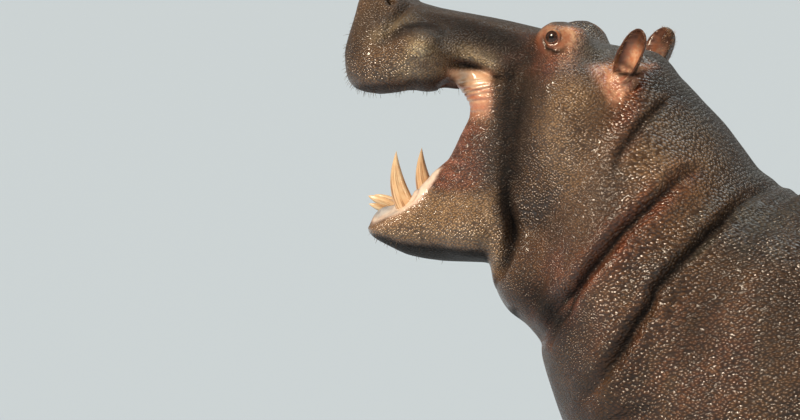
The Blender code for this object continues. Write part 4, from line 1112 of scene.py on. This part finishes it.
# %% [markdown]
# ## Eyeballs
#
# The eye is a glassy ball, nearly black brown, with a slightly lighter ring of iris and a wide dark
# pupil. The white hardly shows. A smooth sphere is its true shape, so it is one, with its pole turned to
# where the eye looks. The pupil is a dark disc drawn by the angle from that pole, kept on the ball's own
# vertices as an attribute, and the wet front comes from a clear coat.

# %% The eye's material
IRIS_BROWNS = ("28160c", "452617")
EYE_RINGS = ((23, 17, "070504"), (36, 43, "120b07"))  # degrees from the gaze: a colour starts, is full
wet_eye, tree = new_material("wet_dark_eye")
from_gaze = add_node(tree, "Attribute", attribute_name="from_gaze").outputs["Fac"]
grain = add_node(tree, "Attribute", attribute_name="iris_grain").outputs["Vector"]
eye_colour = paint(tree, (0, 0, 0, 1), 1.0, IRIS_BROWNS, patches(tree, grain, 0.12))
for start, full, colour in EYE_RINGS:
    share = add_node(tree, "MapRange", {"Value": from_gaze, "From Min": start, "From Max": full})
    eye_colour = add_node(tree, "Mix", {0: share.outputs["Result"], 6: eye_colour, 7: linear(colour)},
                          data_type="RGBA").outputs[2]
shader = add_node(tree, "BsdfPrincipled", {"Base Color": eye_colour, "Roughness": 0.22, "IOR": 1.38,
                                           "Coat Weight": 1.0, "Coat Roughness": 0.02, "Coat IOR": 1.38})
add_node(tree, "OutputMaterial", {"Surface": shader.outputs[0]})
print(wet_eye.name)


# %% Eyeballs
def store(mesh, name, values):
    """Keeps numbers or vectors on a mesh's vertices for its material."""
    values = np.asarray(values, np.float32)
    kind, field = ("FLOAT_VECTOR", "vector") if values.ndim == 2 else ("FLOAT", "value")
    mesh.attributes.new(name, kind, "POINT").data.foreach_set(field, values.ravel())


def to_piece(name, shape, material, replaced):
    """Makes a finished piece from a bmesh drawn in place."""
    bmesh.ops.translate(shape, verts=shape.verts, vec=SLIDE)
    piece = new_object(name, bpy.data.meshes.new(name))
    shape.to_mesh(piece.data)
    shape.free()
    piece.data.shade_smooth()
    piece.data.materials.append(material)
    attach(piece, "root")
    if replaced:
        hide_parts(*replaced)
    print(name, triangles(piece.data), "triangles")
    return piece


for side, mirror in MIRRORS.items():
    ball = bmesh.new()
    bmesh.ops.create_uvsphere(ball, u_segments=48, v_segments=32, radius=EYE_RADIUS)
    local = np.array([v.co for v in ball.verts])
    gaze = GAZE * Vector((1, mirror, 1))
    centre = EYE_DRAWN * Vector((1, mirror, 1))
    turn = Matrix.Translation(centre) @ gaze.to_track_quat("Z", "Y").to_matrix().to_4x4()
    bmesh.ops.transform(ball, matrix=turn, verts=ball.verts)
    piece = to_piece(f"eyeball_{side}", ball, wet_eye, [f"eye_{side}"])
    store(piece.data, "from_gaze", np.degrees(np.arccos(np.clip(local[:, 2] / EYE_RADIUS, -1, 1))))
    turn = np.arctan2(local[:, 1], local[:, 0])  # the iris has its rays round the gaze
    store(piece.data, "iris_grain", np.stack((2 * np.cos(turn), 2 * np.sin(turn), 20 * local[:, 2]), 1))

# %% [markdown]
# ## Tusks and front teeth
#
# The lower canines are the long tusks; the lower incisors point forwards like pegs, and the upper teeth
# are short. They are ivory: cream, stained orange towards the gum, with fine lengthwise cracks. Each
# begins as a cone of many rings. Every ring is moved onto a bowed centre line and narrowed towards the
# tip, and its place round and along the tooth is stored, so that the cracks run along it.

# %% Stained ivory
# Ivory is dense and takes a dull polish, so it is half glossy. Food and mud stain it along its cracks.
CRACK_ACROSS, CRACK_ALONG = 0.0055, 0.07   # metres
STAINS = (  # noise where a stain starts, where it is full, its share, its two colours
    (0.45, 0.62, 0.60, ("b47a45", "c8925c")), (0.530, 0.60, 0.90, ("4a280c", "64391a")))
stained_ivory, tree = new_material("stained_hippopotamus_ivory")
grain = add_node(tree, "Attribute", attribute_name="grain").outputs["Vector"]
height = add_node(tree, "Attribute", attribute_name="height").outputs["Fac"]
stained = add_node(tree, "Attribute", attribute_name="stained").outputs["Fac"]
lengthwise = add_node(tree, "Mapping", {"Vector": grain, "Scale": (1 / CRACK_ACROSS, 1 / CRACK_ACROSS,
                                                                   1 / CRACK_ALONG)}).outputs[0]
streaks = add_node(tree, "TexNoise", {"Vector": lengthwise, "Scale": 1, "Detail": 4}).outputs["Fac"]
low_down = add_node(tree, "MapRange", {"Value": height, "From Min": 1.10, "From Max": 0.45}).outputs["Result"]
low_down = add_node(tree, "Math", {0: low_down, 1: stained}, operation="MULTIPLY").outputs[0]
ivory = paint(tree, (0, 0, 0, 1), 1.0, ("f0dcb4", "e6c498"), patches(tree, grain, 0.02))
for start, full, amount, colours in STAINS:
    streak = add_node(tree, "MapRange", {"Value": streaks, "From Min": start, "From Max": full,
                                         "To Max": amount}).outputs["Result"]
    streak = add_node(tree, "Math", {0: streak, 1: low_down}, operation="MULTIPLY").outputs[0]
    ivory = paint(tree, ivory, streak, colours, patches(tree, grain, 0.01))
ivory = paint(tree, ivory, add_node(tree, "Math", {0: low_down, 1: 0.40}, operation="MULTIPLY").outputs[0],
              ("c58a55", "dba677"), patches(tree, grain, 0.015))
cracks = add_node(tree, "Bump", {"Height": streaks, "Strength": 0.5, "Distance": -0.0015}).outputs[0]
shader = add_node(tree, "BsdfPrincipled", {
    "Base Color": ivory, "Normal": cracks, "Roughness": 0.38, "IOR": 1.54, "Coat Weight": 0.45,
    "Coat Roughness": 0.12})
add_node(tree, "OutputMaterial", {"Surface": shader.outputs[0]})
print(stained_ivory.name)

# %% Build the teeth
TEETH = {  # of the left side: root, tip, radius, bow, how flat, share of stain
    "lower_canine": ((-1.434, -0.150, 1.355), (-1.491, -0.154, 1.540), 0.0270, 0.022, 0.85, 1.0),
    "lower_incisor_inner": ((-1.495, -0.034, 1.388), (-1.588, -0.038, 1.424), 0.013, 0.0, 1.0, 0.45),
    "lower_incisor_outer": ((-1.500, -0.082, 1.382), (-1.575, -0.090, 1.406), 0.010, 0.0, 1.0, 0.6),
    "upper_canine": ((-1.470, -0.128, 1.760), (-1.490, -0.139, 1.686), 0.021, 0.0, 1.0, 0.8),
    "upper_incisor_inner": ((-1.552, -0.036, 1.770), (-1.570, -0.040, 1.684), 0.013, 0.0, 1.0, 0.4),
    "upper_incisor_outer": ((-1.540, -0.090, 1.765), (-1.558, -0.095, 1.686), 0.012, 0.0, 1.0, 0.5)}
TOOTH_SIDES, TOOTH_RINGS, TIP_CROWDING = 40, 30, 1.7
TAPER = {"canine": 2.4, "incisor": 5}  # a tusk narrows to a point, an incisor is a blunt peg


def tube(sides, rings, crowding=1.0):
    """A closed tube of radius 1 along +Z from 0 to 1. Above 1, crowding draws its rings to the far end."""
    shape = bmesh.new()
    bmesh.ops.create_cone(shape, cap_ends=True, cap_tris=False, segments=sides, radius1=1, radius2=1, depth=1)
    upright = [e for e in shape.edges if abs(e.verts[0].co.z - e.verts[1].co.z) > 0.5]
    bmesh.ops.subdivide_edges(shape, edges=upright, cuts=rings)
    for vertex in shape.verts:
        vertex.co.z = 1 - (0.5 - vertex.co.z) ** crowding
    return shape


def tooth(name, side, root, tip, radius, bow, flat, stained):
    """A cone bowed forwards, with one shallow groove down its side and faint flutes round it."""
    mirror = Vector((1, MIRRORS[side], 1))
    root, tip = Vector(root) * mirror, Vector(tip) * mirror
    axis = (tip - root).normalized()
    across = axis.cross(Vector((1, 0, 0))).normalized()
    behind = across.cross(axis)
    shape, grain, height = tube(TOOTH_SIDES, TOOTH_RINGS, TIP_CROWDING), [], []
    for vertex in shape.verts:
        share, turn = vertex.co.z, math.atan2(vertex.co.y, vertex.co.x)
        middle = root.lerp(tip, share) - behind * bow * 4 * share * (1 - share)
        size = radius * (1 - share ** TAPER[name.split("_")[1]])
        size *= 1 - 0.05 * math.exp(-((turn + 1.2) / 0.22) ** 2) + 0.012 * math.sin(7 * turn + share)
        grain.append((math.cos(turn) * radius, math.sin(turn) * radius, share * (tip - root).length))
        height.append(share)
        vertex.co = middle + behind * math.cos(turn) * size + across * math.sin(turn) * size * flat
    bmesh.ops.recalc_face_normals(shape, faces=shape.faces)
    piece = to_piece(f"{name}_{side}_ivory", shape, stained_ivory, [f"{name}_{side}"])
    store(piece.data, "grain", grain)
    store(piece.data, "height", height)
    store(piece.data, "stained", np.full(len(height), stained))


for side in MIRRORS:
    for name, values in TEETH.items():
        tooth(name, side, *values)

# %% Cheek teeth
MOLAR_ROWS = {  # of the left side: front end, back end of each row, and which way its crowns face
    "upper": (Vector((-1.385, -0.110, 1.722)), Vector((-1.175, -0.080, 1.632)), -1),
    "lower": (Vector((-1.385, -0.108, 1.402)), Vector((-1.245, -0.092, 1.434)), 1)}
MOLARS_IN_ROW, CROWN_HALF_WIDTH, CROWN_HALF_HEIGHT = 4, 0.0185, 0.0265
CROWN_SQUARENESS, CROWN_CUTS, MOLAR_STAIN = 5, 7, 0.8


def crown_row(row, side):
    """Four crowns with worn cusps, as one piece."""
    front, rear, facing = MOLAR_ROWS[row]
    mirror = Vector((1, MIRRORS[side], 1))
    front, rear = front * mirror, rear * mirror
    if row == "upper":
        front.z, rear.z = front.z + MOLAR_RISE, rear.z + MOLAR_RISE / 2
    along = (rear - front) / MOLARS_IN_ROW
    across = Vector((0, 1, 0))
    up = along.cross(across).normalized() * -1
    shape, height = bmesh.new(), []
    for k in range(MOLARS_IN_ROW):
        before = len(shape.verts)
        made = bmesh.ops.create_cube(shape, size=2)["verts"]
        edges = list({e for v in made for e in v.link_edges})
        bmesh.ops.subdivide_edges(shape, edges=edges, cuts=CROWN_CUTS, use_grid_fill=True)
        for vertex in list(shape.verts)[before:]:
            p = vertex.co.copy()
            p /= sum(abs(v) ** CROWN_SQUARENESS for v in p) ** (1 / CROWN_SQUARENESS)
            cusps = 0.16 * math.cos(p.x * math.pi * 1.1) * math.cos(p.y * math.pi * 1.0 + math.pi)
            lift = p.z * facing * CROWN_HALF_HEIGHT * (1 - (cusps if p.z > 0.5 else 0))
            waist = 1 - 0.10 * math.cos(p.x * math.pi)
            middle = front + along * (k + 0.5)
            height.append(0.5 + 0.5 * p.z)
            vertex.co = middle + along * 0.47 * p.x + across * CROWN_HALF_WIDTH * p.y * waist + up * lift
    bmesh.ops.recalc_face_normals(shape, faces=shape.faces)
    piece = to_piece(f"{row}_molars_{side}", shape, stained_ivory, [])
    points = drawn_points(piece.data)
    store(piece.data, "grain", points * (0.3, 1, 1))
    store(piece.data, "height", height)
    store(piece.data, "stained", np.full(len(height), MOLAR_STAIN))


for side in MIRRORS:
    for row in MOLAR_ROWS:
        crown_row(row, side)

# %% [markdown]
# ## Tongue
#
# The tongue is a thick pink slab with a groove down its middle and a velvet of papillae. A tube whose
# rings follow the CAD tongue's rows gives the slab, and its back end runs into the throat.

# %% Tongue
TONGUE_ROWS = np.array((  # x, top, bottom, half width
    (-1.463, 1.392, 1.380, 0.012), (-1.457, 1.402, 1.372, 0.040), (-1.440, 1.411, 1.364, 0.064),
    (-1.410, 1.420, 1.356, 0.078), (-1.340, 1.434, 1.365, 0.082), (-1.240, 1.468, 1.385, 0.080),
    (-1.160, 1.490, 1.410, 0.066), (-1.105, 1.496, 1.430, 0.038)))
TONGUE_SIDES, TONGUE_RINGS = 36, 40
PAPILLA = 0.0032  # metres across, as coarse as shows
tongue_flesh, tree = new_material("wet_tongue")
place_in = add_node(tree, "TexCoord").outputs["Object"]
papillae = add_node(tree, "TexVoronoi", {"Vector": place_in, "Scale": 1 / PAPILLA, "Randomness": 0.9})
velvet = add_node(tree, "Bump", {"Height": papillae.outputs["Distance"], "Strength": 0.6,
                                 "Distance": -0.0010}).outputs[0]
tongue_pink = paint(tree, (0, 0, 0, 1), 1.0, ("c27a6e", "d89e90"), patches(tree, place_in, 0.04, detail=4))
shader = add_node(tree, "BsdfPrincipled", {
    "Base Color": tongue_pink, "Normal": velvet, "Roughness": 0.42, "IOR": 1.4, "Coat Weight": 0.6,
    "Coat Roughness": 0.1})
add_node(tree, "OutputMaterial", {"Surface": shader.outputs[0]})
slab = tube(TONGUE_SIDES, TONGUE_RINGS)
for vertex in slab.verts:
    x = float(TONGUE_ROWS[0, 0] + vertex.co.z * (TONGUE_ROWS[-1, 0] - TONGUE_ROWS[0, 0]))
    top, bottom, half = (float(np.interp(x, TONGUE_ROWS[:, 0], TONGUE_ROWS[:, k])) for k in (1, 2, 3))
    turn = math.atan2(vertex.co.y, vertex.co.x)
    side_way = math.copysign(abs(math.sin(turn)) ** 0.8, math.sin(turn)) * half
    groove = 0.006 * math.exp(-(side_way / 0.010) ** 2) * max(math.cos(turn), 0) * min(1, (x + 1.463) / 0.06)
    lift = math.copysign(abs(math.cos(turn)) ** 0.8, math.cos(turn)) * (top - bottom) / 2 - groove
    vertex.co = (x, side_way, (top + bottom) / 2 + lift)
bmesh.ops.recalc_face_normals(slab, faces=slab.faces)
to_piece("tongue_flesh", slab, tongue_flesh, ["tongue"])

# %% [markdown]
# ## Toenails
#
# Each toe ends in a small blunt hoof of horn, ridged from root to edge and worn flat below. A sphere is
# squeezed to a rounded wedge that hugs the toe, and the four nails of a foot are one piece.

# %% Toenails
# Horn is a dull grey brown, with fibres that run down to the worn edge.
NAIL_HALF_SIZES, NAIL_REACH, NAIL_HEIGHT = (0.020, 0.028, 0.034), 0.150, 0.036
NAIL_SQUARENESS = 2.6
nail_horn, tree = new_material("grey_brown_horn")
place_in = add_node(tree, "TexCoord").outputs["Object"]
upright = add_node(tree, "Mapping", {"Vector": place_in, "Scale": (420, 420, 25)}).outputs[0]
ridges = add_node(tree, "TexNoise", {"Vector": upright, "Scale": 1, "Detail": 2}).outputs["Fac"]
ridged = add_node(tree, "Bump", {"Height": ridges, "Strength": 0.5, "Distance": 0.0012}).outputs[0]
horn = paint(tree, (0, 0, 0, 1), 1.0, ("5f5144", "3b2f27"), ridges)
horn = paint(tree, horn, patches(tree, place_in, 0.012, 0.45, 0.80), ("7d6d5a", "6d5c4a"), ridges)
shader = add_node(tree, "BsdfPrincipled", {
    "Base Color": horn, "Normal": ridged, "Roughness": 0.45, "IOR": 1.55})
add_node(tree, "OutputMaterial", {"Surface": shader.outputs[0]})
for name, (foot_x, foot_y) in FEET.items():
    nails = bmesh.new()
    for degrees in TOE_ANGLES:
        turn = math.radians(degrees)
        made = bmesh.ops.create_uvsphere(nails, u_segments=24, v_segments=18, radius=1)["verts"]
        ahead = Vector((-math.cos(turn), math.sin(turn), 0))
        across = Vector((math.sin(turn), math.cos(turn), 0))
        middle = Vector((foot_x - 0.03, foot_y, NAIL_HEIGHT)) + ahead * NAIL_REACH
        for vertex in made:
            p = vertex.co.copy()
            p /= sum(abs(v) ** NAIL_SQUARENESS for v in p) ** (1 / NAIL_SQUARENESS)
            thick, wide, high = NAIL_HALF_SIZES
            taper, slope = 1 - 0.22 * p.z, -0.35 * p.z
            vertex.co = (middle + ahead * thick * (p.x * (1 - 0.15 * p.z) + slope)
                         + across * wide * p.y * taper + Vector((0, 0, high * p.z)))
    bmesh.ops.recalc_face_normals(nails, faces=nails.faces)
    to_piece(f"toenails_{name}", nails, nail_horn, [f"{name}_nail_{k}" for k in (1, 2, 3, 4)])

# %% [markdown]
# ## Bristles
#
# The hide is nearly bare. Stiff bristles stand on the muzzle and along the lips, short hairs fringe the
# ears, and the tail ends in two combs of coarse hair. Particle hair would be lost when the model is
# exported, so each bristle is a thin three-sided spike, copied from one bent template by arrays. Each
# keeps a tiny patch of a UV map at its root's place on the hide unrolled round the body's long axis.

# %% Bristles
BRISTLE_RINGS = 5
ROOT_DEPTH = 0.002              # metres of a bristle that stay in the skin
AXIS_HEIGHT = 1.0               # of the body's long axis, round which the hide is unrolled for the map
MAP_START, MAP_LENGTH, MAP_MARGIN = -1.7, 3.4, 0.02
PATCH_HALF_WIDTH = 0.0012       # of a bristle's patch on the map


def bristle_template():
    """One upright spike of length 1: its points, narrowing to the tip, and its faces."""
    spike = bmesh.new()
    bmesh.ops.create_cone(spike, cap_ends=True, cap_tris=True, segments=3, radius1=1, radius2=1, depth=1)
    upright = [e for e in spike.edges if abs(e.verts[0].co.z - e.verts[1].co.z) > 0.5]
    bmesh.ops.subdivide_edges(spike, edges=upright, cuts=BRISTLE_RINGS)
    spike.verts.ensure_lookup_table()
    points = np.array([v.co for v in spike.verts]) + (0, 0, 0.5)
    faces = [[v.index for v in f.verts] for f in spike.faces]
    spike.free()
    points[:, :2] *= np.sqrt(1 - 0.97 * points[:, 2:3])
    return points, faces


def bristles(name, roots, ways, lengths, radius, droop, material):
    """Spikes from roots along ways, bent down by droop times their length."""
    template, faces = bristle_template()
    ways = ways / np.linalg.norm(ways, axis=1)[:, None]
    aside = np.cross(ways, (0.3, 0.5, 0.8))
    aside /= np.linalg.norm(aside, axis=1)[:, None]
    third = np.cross(ways, aside)
    t = template[None, :, 2:3]
    points = (roots[:, None] + ways[:, None] * (t * lengths[:, None, None] - ROOT_DEPTH)
              + (aside[:, None] * template[None, :, 0:1] + third[:, None] * template[None, :, 1:2]) * radius
              + np.array((0, 0, -1)) * droop * lengths[:, None, None] * t ** 2)
    count = len(template)
    all_faces = [[i + k * count for i in face] for k in range(len(roots)) for face in faces]
    mesh = bpy.data.meshes.new(name)
    mesh.from_pydata((points.reshape(-1, 3) + np.array(SLIDE)).tolist(), [], all_faces)
    mesh.update()
    turn = np.arctan2(roots[:, 1], roots[:, 2] - AXIS_HEIGHT) / (2 * math.pi) + 0.5
    lengthwise = (roots[:, 0] - MAP_START) / MAP_LENGTH
    unrolled = MAP_MARGIN + (1 - 2 * MAP_MARGIN) * np.stack((turn, lengthwise), 1)
    patch = (template[:, :2] + template[:, 2:3] * (0.0, 1.0)) * PATCH_HALF_WIDTH
    per_vertex = (unrolled[:, None] + patch[None]).reshape(-1, 2)
    layer = mesh.uv_layers.new(name="OFBake")
    corners = np.empty(len(mesh.loops), np.int32)
    mesh.loops.foreach_get("vertex_index", corners)
    layer.data.foreach_set("uv", per_vertex[corners].astype(np.float32).ravel())
    piece = new_object(name, mesh)
    mesh.materials.append(material)
    mesh.shade_smooth()
    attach(piece, "root")
    print(name, len(roots), "bristles", triangles(mesh), "triangles")


def scatter(count, seed, wanted):
    """Random places on the skin where wanted(points, normals) is true, with their normals."""
    dice = np.random.default_rng(seed)
    points, normals = drawn_points(skin.data), outward(skin.data)
    chosen = np.flatnonzero(wanted(points, normals))
    chosen = dice.choice(chosen, min(count, len(chosen)), replace=False)
    return points[chosen], normals[chosen], dice


stiff_hair, tree = new_material("dark_stiff_bristle")
place_in = add_node(tree, "TexCoord").outputs["Object"]
hair = paint(tree, (0, 0, 0, 1), 1.0, ("2b2019", "6a5138"), patches(tree, place_in, 0.02))
shader = add_node(tree, "BsdfPrincipled", {"Base Color": hair, "Roughness": 0.4, "IOR": 1.55})
add_node(tree, "OutputMaterial", {"Surface": shader.outputs[0]})


def muzzle_place(points, normals):
    x, z = points[:, 0], points[:, 2]
    return ((x < -1.52) & (z > 1.68) & (z < 1.87) & (normals[:, 0] < 0.2)
            | (x < -1.33) & (z > 1.655) & (z < 1.705) & (lining(points) < 0.1) & (np.abs(points[:, 1]) > 0.1))


roots, normals, dice = scatter(300, 5, muzzle_place)
bristles("muzzle_bristles", roots, normals + dice.normal(0, 0.25, roots.shape) + (0, 0, -0.25),
         dice.uniform(0.006, 0.018, len(roots)), 0.0006, 0.25, stiff_hair)
roots, normals, dice = scatter(70, 6, lambda p, n: (p[:, 0] < -1.40) & (p[:, 2] > 1.24) & (p[:, 2] < 1.34)
                               & (n[:, 2] < 0.2) & (np.abs(p[:, 1]) < 0.24))
bristles("chin_bristles", roots, normals + dice.normal(0, 0.25, roots.shape) + (0, 0, -0.3),
         dice.uniform(0.005, 0.014, len(roots)), 0.0006, 0.25, stiff_hair)


def ear_rim_place(points, normals):
    along, off = along_axis(points, EAR_ROOT, EAR_AXIS)
    edge = np.abs(normals @ np.array(EAR_OPENING)) < 0.5
    return (along > 0.035) & (along < 0.116) & (off < 0.05) & edge


ear_hair, tree = new_material("soft_ear_hair")
place_in = add_node(tree, "TexCoord").outputs["Object"]
hair = paint(tree, (0, 0, 0, 1), 1.0, ("8a5c3a", "d3ac86"), patches(tree, place_in, 0.02))
shader = add_node(tree, "BsdfPrincipled", {"Base Color": hair, "Roughness": 0.5, "IOR": 1.55})
add_node(tree, "OutputMaterial", {"Surface": shader.outputs[0]})
roots, normals, dice = scatter(380, 7, ear_rim_place)
ways = normals * 0.8 + np.array(EAR_AXIS) * (1, 0, 1) + dice.normal(0, 0.25, roots.shape)
bristles("ear_fringe", roots, ways, dice.uniform(0.005, 0.012, len(roots)), 0.0004, 0.05, ear_hair)
roots, normals, dice = scatter(420, 8, lambda p, n: (p[:, 0] > 1.52) & (p[:, 2] < 0.86) & (p[:, 2] > 0.665)
                               & (np.abs(p[:, 1]) < 0.06))
bristles("tail_bristles", roots, normals * (0.5, 1, 0.3) + (0, 0, -0.9) + dice.normal(0, 0.2, roots.shape),
         dice.uniform(0.025, 0.055, len(roots)), 0.0011, 0.3, stiff_hair)
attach(skin, "root")
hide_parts(*FLESH, "ear_left", "ear_right")
